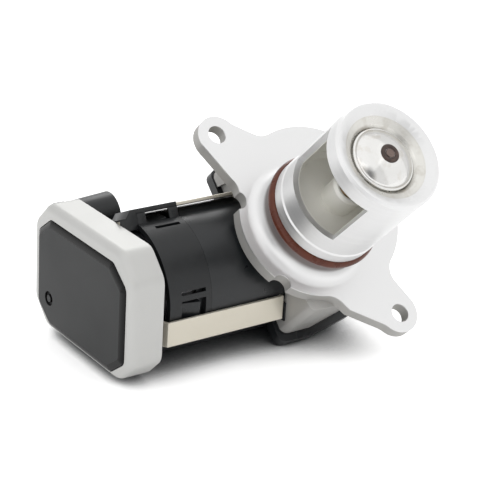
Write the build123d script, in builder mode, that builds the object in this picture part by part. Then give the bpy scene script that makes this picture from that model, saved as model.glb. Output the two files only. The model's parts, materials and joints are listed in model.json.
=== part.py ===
from build123d import *
import os
from math import atan2, cos, degrees, pi, radians, sin, sqrt, tan

os.makedirs("parts", exist_ok=True)

# Electric exhaust gas recirculation valve. The origin is the centre of the bolt circle on the
# front face of the mounting flange, on the valve axis. The valve axis leans 45 degrees from
# vertical, the motor axis runs along X, and +Z is up as the valve lies on a bench.

# Flange, neck and cage of the casting, measured along the valve axis from the flange face
flange_thick = 4.6
hub_radius = 27.3
lobe_x = 8.0
lobe_w = 5.5
lobe_radius = 32.0
bolt_radius = 45.0
bolt_angle = -60.9
bolt_hole_radius = 3.4
ear_radius = 8.0
ear_setback = 1.0
ear_root_reach = 30.5
ear_root_wide = 14.5
ear_root_narrow = 9.6
ear_root_fillet = 7.0
notch_radius = 3.4
notch_reach = 28.0
notch_angles = (150.0, -137.2)
neck_radius = 20.2
neck_root_fillet = 4.4
groove_low = 8.3
groove_high = 12.9
groove_radius = 17.6
land_top = 17.0
land_step = 0.6
tube_radius = 19.75
tube_top = 54.3
rim_chamfer = 0.9
cage_bore_radius = 17.4
cage_floor = 20.0
cage_floor_fillet = 1.5
boss_radius = 6.2
boss_top = 29.5
boss_chamfer = 1.0
window_low = 25.0
window_high = 47.8
window_half_angle = 51.0
flare_radius = 18.3
seat_web = 1.0
spring_pocket_radius = 11.0
spring_pocket_top = 12.4

# Chamber of the casting behind the flange
chamber_x_low = -10.3
chamber_x_top = -12.0
chamber_relief_radius = 29.2
chamber_x_high = 28.0
chamber_w_low = -29.8
chamber_w_high = 36.0
chamber_slope_x = 2.0
chamber_slope_w = -24.3
chamber_corner = 9.0
chamber_near_corner = 3.0
chamber_wall = 3.0
chamber_back = -26.4
boss_corner_x = -7.6
boss_corner_low_w = -26.8
boss_corner_high_w = 32.9
boss_side_x = 24.2
boss_side_low_w = -20.4
boss_side_high_w = 30.4
screw_boss_radius = 2.8
screw_bore_radius = 1.65
screw_bore_depth = 12.0

# Motor axis: behind the flange face and to the side of the valve axis
motor_drop = 30.2
motor_side = 0.9
root2 = sqrt(2)
motor_y = (motor_drop + motor_side) / root2
motor_z = (motor_side - motor_drop) / root2

# Drive housing: motor tube, screwed plate and gear case in one moulding
housing_radius = 24.4
housing_gap = 0.35
spigot_radius = 22.2
spigot_length = 5.0
seam_x = -41.7
motor_bay_radius = 21.2
bulkhead_low_x = -20.9
bulkhead_high_x = -16.6
gear_bay_end_x = -10.7
carrier_bay_end_x = -8.2
tube_end_x = -4.0
case_end_x = 21.0
case_wall = 2.5
case_round = 6.0
gasket_thick = 0.8
plate_thick = 4.1
plate_overhang = 2.8
plate_side_overhang = 1.3
plate_x_top = -12.2
plate_top_overhang = 1.1
plate_corner = 12.0
plate_near_corner = 3.0
rib_thick = 1.6
rib_height = 3.0
rib_spacing = 9.0

# Stack at the motor end, by position along X
collar_end_x = -58.6
collar_wall = 2.1
connector_hub_radius = 21.4
cap_back_x = -65.2
cap_front_x = -77.5
cap_centre_y = 25.0
cap_width = 66.6
cap_low_z = -42.9
cap_high_z = 4.1
cap_cut_y = 8.7
cap_cut_z = 8.7
cap_corner = 6.0
cap_wall = 2.6
seat_face_gap = 0.05
connector_face_x = cap_back_x + seat_face_gap
cap_front_round = 3.0
lid_width = 58.5
lid_height = 39.9
lid_centre_z = -20.85
lid_cut_y = 8.5
lid_cut_z = 6.5
lid_corner = 3.5
lid_front_x = -78.6
lid_thick = 3.2
lid_bevel = 0.9
lid_bevel_width = 2.2
lid_gap = 0.25
lid_dimple_y = 45.0
lid_dimple_z = -30.1
lid_dimple_radius = 2.6
lid_dimple_core = 1.4
lid_dimple_depth = 0.9
cap_window_inset = 7.0

# Tie straps
strap_thick = 1.2
strap_width = 9.1
strap_shift = 7.5
strap_end_x = -11.6
strap_bend_x = -59.3
strap_joggle = 2.8
strap_foot_x = -63.6
strap_foot_reach = 3.4
strap_tab_reach = 2.6
strap_clearance = 0.15
strap_stop_thick = 0.6
strap_stop_margin = 1.0
strap_angles = (180.0, 63.5, 300.0)

# Connector
socket_y = 63.0
socket_z = -10.6
socket_base_radius = 7.2
socket_mouth_radius = 8.4
socket_mouth_x = -43.4
socket_wall = 1.5
socket_plate_thick = 3.6
socket_lug_radius = 7.6
pin_radius = 0.55
pin_spacing = 3.0
pin_tip_x = -51.0

# Motor
can_radius = 20.8
can_wall = 1.2
can_end_x = -58.4
can_nose_radius = 6.0
magnet_radius = 19.5
magnet_inner_radius = 16.3
magnet_low_x = -53.0
magnet_high_x = -26.0
magnet_span = 118.0
core_radius = 15.6
core_low_x = -50.5
core_high_x = -28.5
slot_count = 10
slot_width = 4.4
slot_root_radius = 7.2
slot_mouth_width = 1.8
slot_lip = 1.6
winding_overhang = 3.4
winding_gap = 0.15
shaft_radius = 2.5
shaft_rear_x = -66.6
shaft_front_x = -10.95
bush_radius = 5.0
bush_flange_radius = 6.6
bush_flange_thick = 1.0
commutator_radius = 6.0
commutator_low_x = -58.6
commutator_bars = 10
bar_gap = 0.5
brush_plate_low_x = -58.2
brush_plate_thick = 1.2
brush_width = 4.0
brush_length = 6.0
brush_thick = 1.9
brush_box_wall = 0.7
brush_gap = 0.1
running_gap = 0.05

# Gear stage
gear_module = 0.8
sun_teeth = 12
planet_teeth = 15
ring_teeth = 42
planet_count = 3
gear_low_x = -15.9
gear_high_x = -11.2
ring_radius = 20.1
ring_lug = 1.0
tooth_clearance = 0.28
tooth_root_share = 0.76
tooth_tip_share = 0.30
space_mouth_share = 0.80
space_root_share = 0.36
planet_pin_radius = 1.5

# Crank and stem
carrier_radius = 14.4
carrier_thick = 2.2
hub_face_x = -3.7
crank_hub_radius = 9.95
carrier_bush_radius = 12.4
crank_radius = 7.0
crank_pin_radius = 2.6
crank_pin_end_x = 3.4
crank_swing = 30.0
valve_lean = 45.0
yoke_half_thick = 2.6
yoke_wall = 2.2
yoke_slot_gap = 0.16
yoke_travel_room = 0.8
stem_radius = 3.0
stem_gap = 0.05
rivet_radius = 3.4
rivet_top = 55.4
head_bore_radius = 2.5
head_radius = 11.45
head_edge = 0.5
head_under = 48.6
dome_top = 54.7
dome_radius = 16.9
seat_gap = 0.3
seat_throat_radius = 10.8
seat_edge_radius = 12.8
seat_edge = 51.0
seat_ring_radius = 15.15
guide_radius = 4.6
guide_length = 14.6
seal_length = 2.0
spring_wire_radius = 0.8
spring_radius = 8.6
spring_turns = 5.0
spring_plate_radius = 9.8
spring_plate_thick = 1.6
spring_plate_top = -2.6
clip_thick = 1.0
clip_radius = 4.8

# Small parts
o_ring_section = 1.9
o_ring_stretch = 0.1
screw_head_radius = 3.3
screw_head_height = 2.6
screw_shank_radius = 1.6
screw_socket_radius = 1.5
board_thick = 1.4
board_gap = 0.9
board_width = 46.0
board_height = 28.0
board_post_radius = 2.0
sensor_magnet_radius = 4.0
sensor_magnet_thick = 2.8
overrun = 1.0

valve_plane = Plane(origin=(0, 0, 0), x_dir=(1, 0, 0), z_dir=(0, -1, 1))
valve_section = Plane(origin=(0, 0, 0), x_dir=(1, 0, 0), z_dir=(0, -1, -1))
valve_axis = Axis((0, 0, 0), (0, -1, 1))
motor_plane = Plane(origin=(0, motor_y, motor_z), x_dir=(0, 1, 0), z_dir=(1, 0, 0))
motor_section = Plane(origin=(0, motor_y, motor_z), x_dir=(1, 0, 0), z_dir=(0, -1, -1))
motor_axis = Axis((0, motor_y, motor_z), (1, 0, 0))
side_plane = Plane(origin=(0, 0, 0), x_dir=(0, 1, 0), z_dir=(1, 0, 0))


def across_valve(v):
    """Plane across the valve axis, v in front of the flange face."""
    return valve_plane.offset(v)


def across_motor(x):
    """Plane across the motor axis at x, centred on that axis."""
    return motor_plane.offset(x)


def across_side(x):
    """Plane across X at x, centred on the frame's own Y and Z."""
    return side_plane.offset(x)


def ring_sketch(outer, inner):
    """Ring drawn in the sketch that is open."""
    Circle(outer)
    Circle(inner, mode=Mode.SUBTRACT)


def disc_at(x_low, x_high, outer, inner=0, mode=Mode.ADD):
    """Disc or ring on the motor axis between two places along X."""
    with BuildSketch(across_motor(x_low)) as disc:
        Circle(outer)
        if inner > 0:
            Circle(inner, mode=Mode.SUBTRACT)
    extrude(disc.sketch, amount=x_high - x_low, mode=mode)


def turned(points, section, axis, mode=Mode.ADD):
    """Solid of revolution from a closed outline in a section plane."""
    with BuildSketch(section) as profile:
        with BuildLine():
            Polyline(*points, close=True)
        make_face()
    revolve(profile.sketch, axis=axis, mode=mode)


def outline_face(points, corner, mode=Mode.ADD):
    """Face of a closed outline with every corner rounded."""
    with BuildSketch(Plane.XY, mode=Mode.PRIVATE) as outline:
        with BuildLine():
            Polyline(*points, close=True)
        make_face()
        fillet(outline.vertices(), corner)
    add(outline.sketch, mode=mode)


def cover_face(points, near_corner, corner, inset=0, mode=Mode.ADD):
    """Face of the chamber's outline: small corners on the motor's side, large ones on the other."""
    with BuildSketch(Plane.XY, mode=Mode.PRIVATE) as outline:
        with BuildLine():
            Polyline(*points, close=True)
        make_face()
        fillet(outline.vertices().sort_by(Axis.X)[:2], near_corner)
        fillet(outline.vertices().sort_by(Axis.X)[-2:], corner)
        if inset > 0:
            offset(amount=-inset)
    add(outline.sketch, mode=mode)


def finish(piece, label):
    """Label a finished piece and write it."""
    piece.part.label = label
    export_step(piece.part, f"parts/{label}.step")


# The seat cone runs at 45 degrees from the throat to the seat edge, then opens into the flare
seat_floor = window_high + seat_web
cone_low = seat_edge - (seat_edge_radius - seat_throat_radius)
flare_slope = (tube_top - seat_edge) / (flare_radius - seat_edge_radius)
flare_at_ring = seat_edge + flare_slope * (seat_ring_radius - seat_edge_radius)


def ear_outline(turn):
    """Corner points of one ear, wide on one side, drawn towards the bolt hole."""
    along = radians(bolt_angle + turn)
    end_reach = bolt_radius - ear_setback
    corners = [
        (end_reach, ear_radius),
        (ear_root_reach, ear_root_wide),
        (0, ear_root_wide),
        (0, -ear_root_narrow),
        (ear_root_reach, -ear_root_narrow),
        (end_reach, -ear_radius),
    ]
    return [(u * cos(along) + n * sin(along), u * sin(along) - n * cos(along)) for u, n in corners]


with BuildPart() as valve_body:
    with BuildSketch(across_valve(-flange_thick)):
        Circle(hub_radius)
        with Locations((lobe_x, lobe_w)):
            Circle(lobe_radius)
        for half_turn in (0, 180):
            with BuildLine():
                Polyline(*ear_outline(half_turn), close=True)
            make_face()
        with PolarLocations(bolt_radius - ear_setback, 2, start_angle=bolt_angle):
            Circle(ear_radius)
        offset(amount=ear_root_fillet)
        offset(amount=-ear_root_fillet)
        for notch_angle in notch_angles:
            with PolarLocations(notch_reach, 1, start_angle=notch_angle):
                Circle(notch_radius, mode=Mode.SUBTRACT)
        with PolarLocations(bolt_radius, 2, start_angle=bolt_angle):
            Circle(bolt_hole_radius, mode=Mode.SUBTRACT)
    extrude(amount=flange_thick)

    # Neck with its O-ring groove, upper land, tube and chamfered rim
    with BuildSketch(valve_section):
        with BuildLine():
            Polyline((0, 0), (0, tube_top), (tube_radius - rim_chamfer, tube_top),
                            (tube_radius, tube_top - rim_chamfer), (tube_radius, land_top + land_step),
                            (neck_radius, land_top), (neck_radius, groove_high),
                            (groove_radius, groove_high), (groove_radius, groove_low),
                            (neck_radius, groove_low), (neck_radius, neck_root_fillet))
            RadiusArc((neck_radius, neck_root_fillet), (neck_radius + neck_root_fillet, 0),
                      -neck_root_fillet)
            Line((neck_radius + neck_root_fillet, 0), (0, 0))
        make_face()
    revolve(axis=valve_axis)

    # Chamber skirt and its screw bosses
    chamber_points = [(chamber_x_low, chamber_w_low), (chamber_slope_x, chamber_w_low),
                      (chamber_x_high, chamber_slope_w), (chamber_x_high, chamber_w_high),
                      (chamber_x_top, chamber_w_high)]
    screw_places = [(boss_corner_x, boss_corner_low_w), (boss_corner_x, boss_corner_high_w),
                    (boss_side_x, boss_side_low_w), (boss_side_x, boss_side_high_w)]
    chamber_depth = -flange_thick - chamber_back
    with BuildSketch(across_valve(chamber_back)):
        cover_face(chamber_points, chamber_near_corner, chamber_corner)
        cover_face(chamber_points, chamber_near_corner, chamber_corner, chamber_wall, Mode.SUBTRACT)
        with Locations(*screw_places):
            Circle(screw_boss_radius)
    extrude(amount=chamber_depth)
    with BuildSketch(across_valve(chamber_back)):
        with Locations(*screw_places):
            Circle(screw_bore_radius)
    extrude(amount=screw_bore_depth + overrun, mode=Mode.SUBTRACT)

    # Hollow of the cage round the guide boss, spring pocket and guide bore
    with BuildSketch(valve_section):
        with BuildLine():
            Polyline((boss_radius, boss_top - boss_chamfer), (boss_radius, cage_floor),
                     (cage_bore_radius - cage_floor_fillet, cage_floor),
                     (cage_bore_radius, cage_floor + cage_floor_fillet),
                     (cage_bore_radius, window_high), (0, window_high), (0, boss_top),
                     (boss_radius - boss_chamfer, boss_top), close=True)
        make_face()
    revolve(axis=valve_axis, mode=Mode.SUBTRACT)
    with BuildSketch(across_valve(-flange_thick)):
        Circle(spring_pocket_radius)
    extrude(amount=spring_pocket_top + flange_thick, mode=Mode.SUBTRACT)
    with BuildSketch(across_valve(spring_pocket_top)):
        Circle(guide_radius)
    extrude(amount=boss_top - spring_pocket_top, mode=Mode.SUBTRACT)

    # Seat pocket and the flare that opens to the rim
    turned([(0, window_high), (seat_throat_radius + seat_web, window_high),
            (seat_throat_radius + seat_web, seat_floor), (seat_ring_radius, seat_floor),
            (seat_ring_radius, flare_at_ring), (flare_radius, tube_top), (0, tube_top)],
           valve_section, valve_axis, Mode.SUBTRACT)

    # Side window, cut through the tube wall only
    window_reach = tube_radius + overrun
    window_half = radians(window_half_angle)
    with BuildSketch(across_valve(window_low)):
        with BuildLine():
            Polyline((0, 0), (-window_reach * cos(window_half), window_reach * sin(window_half)),
                     (-2 * window_reach, 0),
                     (-window_reach * cos(window_half), -window_reach * sin(window_half)), close=True)
        make_face()
        Circle(boss_radius, mode=Mode.SUBTRACT)
    extrude(amount=window_high - window_low, mode=Mode.SUBTRACT)

    # Arch for the motor tube, and the gas-side face of the flange stays clear of it
    arch_radius = housing_radius + housing_gap
    disc_at(chamber_x_top - overrun, tube_end_x + housing_gap, arch_radius, mode=Mode.SUBTRACT)
    disc_at(chamber_x_top - overrun, chamber_x_low, chamber_relief_radius, mode=Mode.SUBTRACT)
finish(valve_body, "valve_body")

with BuildPart() as valve_seat:
    turned([(seat_throat_radius, seat_floor), (seat_ring_radius, seat_floor),
            (seat_ring_radius, flare_at_ring), (seat_edge_radius, seat_edge),
            (seat_throat_radius, cone_low)], valve_section, valve_axis)
finish(valve_seat, "valve_seat")

with BuildPart() as neck_o_ring:
    groove_mid = (groove_low + groove_high) / 2
    with BuildSketch(valve_section):
        with Locations((groove_radius + o_ring_section + o_ring_stretch / 2, groove_mid)):
            Circle(o_ring_section)
    revolve(axis=valve_axis)
finish(neck_o_ring, "neck_o_ring")

with BuildPart() as stem_guide:
    with BuildSketch(across_valve(boss_top - guide_length)):
        ring_sketch(guide_radius, stem_radius + stem_gap)
    extrude(amount=guide_length)
finish(stem_guide, "stem_guide")

with BuildPart() as stem_seal:
    with BuildSketch(across_valve(boss_top - guide_length - seal_length)):
        ring_sketch(guide_radius, stem_radius + stem_gap)
    extrude(amount=seal_length)
finish(stem_seal, "stem_seal")

# Crank pin at rest: the swing is centred on the sideways direction, so the stem moves most evenly
pin_w = motor_side + crank_radius * cos(radians(crank_swing))
pin_v = -motor_drop - crank_radius * sin(radians(crank_swing))
lift = 2 * crank_radius * sin(radians(crank_swing))
slot_half = crank_pin_radius + yoke_slot_gap
slot_low_w = pin_w - crank_pin_radius - yoke_travel_room
slot_high_w = motor_side + crank_radius + crank_pin_radius + yoke_travel_room
yoke_top = pin_v + slot_half + yoke_wall

with BuildPart() as valve_stem:
    shoulder = head_under
    turned([(0, yoke_top), (stem_radius, yoke_top), (stem_radius, shoulder),
            (head_bore_radius - stem_gap, shoulder), (head_bore_radius - stem_gap, dome_top),
            (rivet_radius, dome_top), (rivet_radius, (dome_top + rivet_top) / 2),
            (rivet_radius / 2, rivet_top), (0, rivet_top)], valve_section, valve_axis)
finish(valve_stem, "valve_stem")

with BuildPart() as valve_head:
    cone_gap = seat_gap * root2
    head_cone_top = cone_low + head_radius - seat_throat_radius + cone_gap
    head_cone_low = head_under + head_edge
    head_foot_radius = head_radius - (head_cone_top - head_cone_low)
    with BuildSketch(valve_section):
        with BuildLine():
            Polyline((rivet_radius, dome_top), (head_bore_radius, dome_top),
                     (head_bore_radius, head_under), (head_foot_radius - head_edge, head_under),
                     (head_foot_radius, head_cone_low), (head_radius, head_cone_top),
                     (head_radius, head_cone_top + head_edge))
            RadiusArc((rivet_radius, dome_top), (head_radius, head_cone_top + head_edge), dome_radius)
        make_face()
    revolve(axis=valve_axis)
finish(valve_head, "valve_head")

with BuildPart() as stem_yoke:
    with BuildSketch(Plane(origin=(-yoke_half_thick, 0, 0), x_dir=(0, 1, 1), z_dir=(1, 0, 0))):
        yoke_low = pin_v - slot_half - yoke_wall
        yoke_left = -stem_radius - yoke_wall / 2
        yoke_right = slot_high_w + yoke_wall
        with Locations(((yoke_left + yoke_right) / 2, (yoke_low + yoke_top) / 2)):
            RectangleRounded(yoke_right - yoke_left, yoke_top - yoke_low, yoke_wall)
        with Locations(((slot_low_w + slot_high_w) / 2, pin_v)):
            SlotOverall(slot_high_w - slot_low_w, 2 * slot_half, mode=Mode.SUBTRACT)
    extrude(amount=2 * yoke_half_thick)
finish(stem_yoke, "stem_yoke")

with BuildPart() as spring_plate:
    plate_low = spring_plate_top - spring_plate_thick
    with BuildSketch(across_valve(plate_low)):
        ring_sketch(spring_plate_radius, stem_radius + stem_gap)
    extrude(amount=spring_plate_thick)
    with BuildSketch(across_valve(spring_plate_top)):
        ring_sketch(spring_radius - spring_wire_radius - yoke_slot_gap, stem_radius + stem_gap)
    extrude(amount=spring_plate_thick / 2)
finish(spring_plate, "spring_plate")

with BuildPart() as stem_clip:
    with BuildSketch(across_valve(plate_low - clip_thick)):
        ring_sketch(clip_radius, stem_radius + stem_gap)
        with Locations((clip_radius, 0)):
            Rectangle(2 * clip_radius, stem_radius, mode=Mode.SUBTRACT)
    extrude(amount=clip_thick)
finish(stem_clip, "stem_clip")

# Spring: ground end rings and open turns between the plate and the pocket's floor
with BuildPart() as return_spring:
    spring_low = spring_plate_top + spring_wire_radius + seat_face_gap
    spring_high = spring_pocket_top - spring_wire_radius - seat_face_gap
    spring_height = spring_high - spring_low
    with BuildLine(across_valve(spring_low)):
        coil = Helix(pitch=spring_height / spring_turns, height=spring_height, radius=spring_radius,
                     direction=(0, -1, 1))
    with BuildSketch(Plane(origin=coil @ 0, z_dir=coil % 0)):
        Circle(spring_wire_radius)
    sweep(path=coil, is_frenet=True)
finish(return_spring, "return_spring")


def strap_plane(strap_angle):
    """Plane through the motor axis that holds one strap's bends: X along it, local y outwards."""
    turn = radians(strap_angle)
    return Plane(origin=(0, motor_y, motor_z), x_dir=(1, 0, 0), z_dir=(0, -sin(turn), cos(turn)))


strap_outer = housing_radius + strap_thick + seat_face_gap
strap_inner = strap_outer - strap_thick
foot_outer = strap_outer - strap_joggle


def strap_outline(grow):
    """Side outline of a strap from its foot to its tab, with room added for a slot."""
    foot_low = foot_outer - strap_thick - strap_foot_reach
    return [
        (strap_foot_x - strap_thick - grow, foot_low - grow),
        (strap_foot_x + grow, foot_low - grow),
        (strap_foot_x + grow, foot_outer - strap_thick - grow),
        (strap_bend_x - strap_thick + grow, foot_outer - strap_thick - grow),
        (strap_bend_x + grow, strap_inner - grow),
        (strap_end_x - strap_thick - grow, strap_inner - grow),
        (strap_end_x - strap_thick - grow, strap_inner - strap_tab_reach - grow),
        (strap_end_x + grow, strap_inner - strap_tab_reach - grow),
        (strap_end_x + grow, strap_outer + grow),
        (strap_bend_x - strap_thick / 2 - grow, strap_outer + grow),
        (strap_bend_x - 2 * strap_thick - grow, foot_outer + grow),
        (strap_foot_x - strap_thick - grow, foot_outer + grow),
    ]


def strap_solid(strap_angle, grow, mode=Mode.ADD):
    """One strap, or the room that it needs, laid at its angle round the motor axis."""
    # The strap is shifted sideways along the plane's normal, in the turning direction
    with BuildSketch(strap_plane(strap_angle).offset(strap_shift - strap_width / 2 - grow)) as side:
        with BuildLine():
            Polyline(*strap_outline(grow), close=True)
        make_face()
    extrude(side.sketch, amount=strap_width + 2 * grow, mode=mode)


plate_top = chamber_back - gasket_thick
plate_back = plate_top - plate_thick
# The plate's lower edge reaches the bench that the motor tube also rests on
bench_z = motor_z - housing_radius
plate_w_low = bench_z * root2 - plate_back
plate_w_high = chamber_w_high + plate_top_overhang
plate_x_low = chamber_x_low - plate_side_overhang
plate_x_high = chamber_x_high + plate_overhang
plate_points = [(plate_x_low, plate_w_low), (chamber_slope_x, plate_w_low),
                (plate_x_high, chamber_slope_w - plate_overhang), (plate_x_high, plate_w_high),
                (plate_x_top, plate_w_high)]

with BuildPart() as drive_housing:
    # Gear case: the tube goes on behind the screwed plate to a rounded end
    with BuildSketch(motor_section):
        with BuildLine():
            Polyline((plate_x_low, 0), (plate_x_low, housing_radius - case_wall / 2),
                     (tube_end_x, housing_radius), (case_end_x - case_round, housing_radius))
            RadiusArc((case_end_x - case_round, housing_radius),
                      (case_end_x, housing_radius - case_round), case_round)
            Polyline((case_end_x, housing_radius - case_round), (case_end_x, 0), (plate_x_low, 0))
        make_face()
    revolve(axis=motor_axis)
    split(bisect_by=across_valve(plate_top - seat_face_gap), keep=Keep.BOTTOM)
    # Screwed plate, and the ribs behind it
    plate_mid = ((plate_x_low + plate_x_high) / 2, (plate_w_low + plate_w_high) / 2)
    with BuildSketch(across_valve(plate_back)):
        cover_face(plate_points, plate_near_corner, plate_corner)
    extrude(amount=plate_thick)
    rib_low = plate_back - rib_height
    with BuildSketch(across_valve(rib_low)):
        for rib_step in (-1, 0, 1):
            with Locations((plate_mid[0] + rib_step * rib_spacing, plate_mid[1])):
                Rectangle(rib_thick, plate_w_high - plate_w_low - plate_corner)
    extrude(amount=rib_height)
    # Motor tube with the spigot that enters the collar
    turned([(seam_x - spigot_length, 0), (seam_x - spigot_length, spigot_radius),
            (seam_x, spigot_radius), (seam_x, housing_radius), (tube_end_x, housing_radius),
            (tube_end_x, 0)], motor_section, motor_axis)
    # A stop wall on the tube beyond the folded end of each strap
    for angle in strap_angles:
        stop_side = strap_plane(angle).offset(strap_shift - strap_width / 2 - strap_stop_margin)
        with BuildSketch(stop_side) as stop:
            stop_high_x = chamber_x_low - 2 * seat_face_gap
            with BuildLine():
                Polyline((stop_high_x - strap_stop_thick, housing_radius - case_wall),
                         (stop_high_x, housing_radius - case_wall), (stop_high_x, strap_outer),
                         (stop_high_x - strap_stop_thick, strap_outer), close=True)
            make_face()
        extrude(stop.sketch, amount=strap_width + 2 * strap_stop_margin)
    # Bays for the motor, its front bush, the gears, the carrier, the bush and the crank
    turned([(seam_x - spigot_length, 0), (seam_x - spigot_length, motor_bay_radius),
            (bulkhead_low_x, motor_bay_radius), (bulkhead_low_x, bush_radius),
            (bulkhead_high_x, bush_radius), (bulkhead_high_x, ring_radius + seat_face_gap),
            (gear_bay_end_x, ring_radius + seat_face_gap),
            (gear_bay_end_x, carrier_radius + housing_gap),
            (carrier_bay_end_x, carrier_radius + housing_gap),
            (carrier_bay_end_x, carrier_bush_radius), (tube_end_x, carrier_bush_radius),
            (tube_end_x, housing_radius - case_wall),
            (case_end_x - case_wall, housing_radius - case_wall), (case_end_x - case_wall, 0)],
           motor_section, motor_axis, Mode.SUBTRACT)
    # Screw holes with sunk heads
    with BuildSketch(across_valve(plate_back)):
        with Locations(*screw_places):
            Circle(screw_shank_radius + seat_face_gap)
    extrude(amount=plate_thick, mode=Mode.SUBTRACT)
    with BuildSketch(across_valve(plate_back)):
        with Locations(*screw_places):
            Circle(screw_head_radius + seat_face_gap)
    extrude(amount=screw_head_height, mode=Mode.SUBTRACT)
    for angle in strap_angles:
        strap_solid(angle, strap_clearance, Mode.SUBTRACT)
finish(drive_housing, "drive_housing")

with BuildPart() as housing_gasket:
    with BuildSketch(across_valve(plate_top)):
        cover_face(chamber_points, chamber_near_corner, chamber_corner)
        cover_face(chamber_points, chamber_near_corner, chamber_corner, chamber_wall, Mode.SUBTRACT)
        with Locations(*screw_places):
            Circle(screw_boss_radius)
        with Locations(*screw_places):
            Circle(screw_bore_radius, mode=Mode.SUBTRACT)
    extrude(amount=gasket_thick)
    disc_at(chamber_x_top - overrun, tube_end_x + housing_gap, arch_radius, mode=Mode.SUBTRACT)
    disc_at(chamber_x_top - overrun, chamber_x_low, chamber_relief_radius, mode=Mode.SUBTRACT)
finish(housing_gasket, "housing_gasket")

with BuildPart() as housing_screws:
    with BuildSketch(across_valve(plate_back)):
        with Locations(*screw_places):
            Circle(screw_head_radius)
    extrude(amount=screw_head_height)
    with BuildSketch(across_valve(plate_back + screw_head_height)):
        with Locations(*screw_places):
            Circle(screw_shank_radius)
    extrude(amount=plate_thick - screw_head_height + gasket_thick + screw_bore_depth)
    with BuildSketch(across_valve(plate_back)):
        with Locations(*screw_places):
            RegularPolygon(screw_socket_radius, 6)
    extrude(amount=screw_head_height / 2, mode=Mode.SUBTRACT)
finish(housing_screws, "housing_screws")

with BuildPart() as motor_can:
    can_front_x = bulkhead_low_x - seat_face_gap
    disc_at(can_end_x, can_front_x, can_radius)
    disc_at(can_end_x, can_front_x - can_wall, can_radius - can_wall, mode=Mode.SUBTRACT)
    disc_at(can_front_x - can_wall, can_front_x, can_nose_radius, mode=Mode.SUBTRACT)
finish(motor_can, "motor_can")

with BuildPart() as motor_magnets:
    half_span = magnet_span / 2
    with BuildSketch(across_motor(magnet_low_x)):
        ring_sketch(magnet_radius, magnet_inner_radius)
        for gap_side in (0, 180):
            gap_edge = radians(90 - half_span)
            reach = 2 * magnet_radius
            flip = cos(radians(gap_side))
            with BuildLine():
                Polyline((0, 0), (flip * reach * cos(gap_edge), reach * sin(gap_edge)),
                         (flip * reach * cos(gap_edge), -reach * sin(gap_edge)), close=True)
            make_face(mode=Mode.SUBTRACT)
    extrude(amount=magnet_high_x - magnet_low_x)
finish(motor_magnets, "motor_magnets")


def slot_room(grow):
    """Winding slots of the rotor core, narrow at the mouth, with room taken off for the coils."""
    slot_high = core_radius - slot_lip
    with PolarLocations((slot_root_radius + slot_high) / 2, slot_count):
        RectangleRounded(slot_high - slot_root_radius - 2 * grow, slot_width - 2 * grow,
                         slot_width / 4)


with BuildPart() as rotor_core:
    with BuildSketch(across_motor(core_low_x)):
        Circle(core_radius)
        with PolarLocations(core_radius - slot_lip, slot_count):
            Rectangle(2 * slot_lip + overrun, slot_mouth_width, mode=Mode.SUBTRACT)
        slot_high = core_radius - slot_lip
        with PolarLocations((slot_root_radius + slot_high) / 2, slot_count):
            RectangleRounded(slot_high - slot_root_radius, slot_width, slot_width / 4,
                             mode=Mode.SUBTRACT)
        Circle(shaft_radius, mode=Mode.SUBTRACT)
    extrude(amount=core_high_x - core_low_x)
finish(rotor_core, "rotor_core")

with BuildPart() as rotor_winding:
    with BuildSketch(across_motor(core_low_x - winding_overhang)):
        slot_room(winding_gap)
    extrude(amount=core_high_x - core_low_x + 2 * winding_overhang)
    # The coils cross over beyond each end of the core
    coil_outer = core_radius - slot_lip - winding_gap
    for coil_x in (core_low_x - winding_overhang, core_high_x + winding_gap):
        disc_at(coil_x, coil_x + winding_overhang - winding_gap, coil_outer, slot_root_radius)
finish(rotor_winding, "rotor_winding")

with BuildPart() as commutator:
    commutator_high_x = core_low_x - winding_overhang - winding_gap
    with BuildSketch(across_motor(commutator_low_x)):
        Circle(commutator_radius)
        with PolarLocations(commutator_radius, commutator_bars):
            Rectangle(commutator_radius / 2, bar_gap, mode=Mode.SUBTRACT)
        Circle(shaft_radius, mode=Mode.SUBTRACT)
    extrude(amount=commutator_high_x - commutator_low_x)
finish(commutator, "commutator")

with BuildPart() as motor_shaft:
    disc_at(shaft_rear_x, shaft_front_x, shaft_radius)
    chamfer(motor_shaft.edges().filter_by(GeomType.CIRCLE), shaft_radius / 5)
finish(motor_shaft, "motor_shaft")

with BuildPart() as front_bush:
    disc_at(bulkhead_low_x, bulkhead_high_x, bush_radius, shaft_radius + running_gap)
finish(front_bush, "front_bush")

rear_bush_high_x = collar_end_x - bush_flange_thick
with BuildPart() as rear_bush:
    disc_at(connector_face_x, rear_bush_high_x, bush_radius, shaft_radius + running_gap)
finish(rear_bush, "rear_bush")

with BuildPart() as brush_holder:
    brush_plate_high_x = brush_plate_low_x + brush_plate_thick
    holder_radius = can_radius - can_wall - seat_face_gap
    disc_at(brush_plate_low_x, brush_plate_high_x, holder_radius, commutator_radius + 2 * bar_gap)
    # Brush boxes on the plate
    box_mid = commutator_radius + brush_gap + brush_length / 2 + bar_gap
    with BuildSketch(across_motor(brush_plate_high_x)):
        with PolarLocations(box_mid, 2):
            Rectangle(brush_length, brush_width + 2 * brush_box_wall)
    extrude(amount=brush_thick + brush_box_wall)
    with BuildSketch(across_motor(brush_plate_high_x)):
        with PolarLocations(box_mid, 2):
            Rectangle(brush_length + overrun, brush_width + 2 * brush_gap)
    extrude(amount=brush_thick + brush_gap, mode=Mode.SUBTRACT)
    disc_at(brush_plate_low_x, brush_plate_high_x + brush_thick + brush_box_wall,
            commutator_radius + 2 * bar_gap, mode=Mode.SUBTRACT)
finish(brush_holder, "brush_holder")

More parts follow.
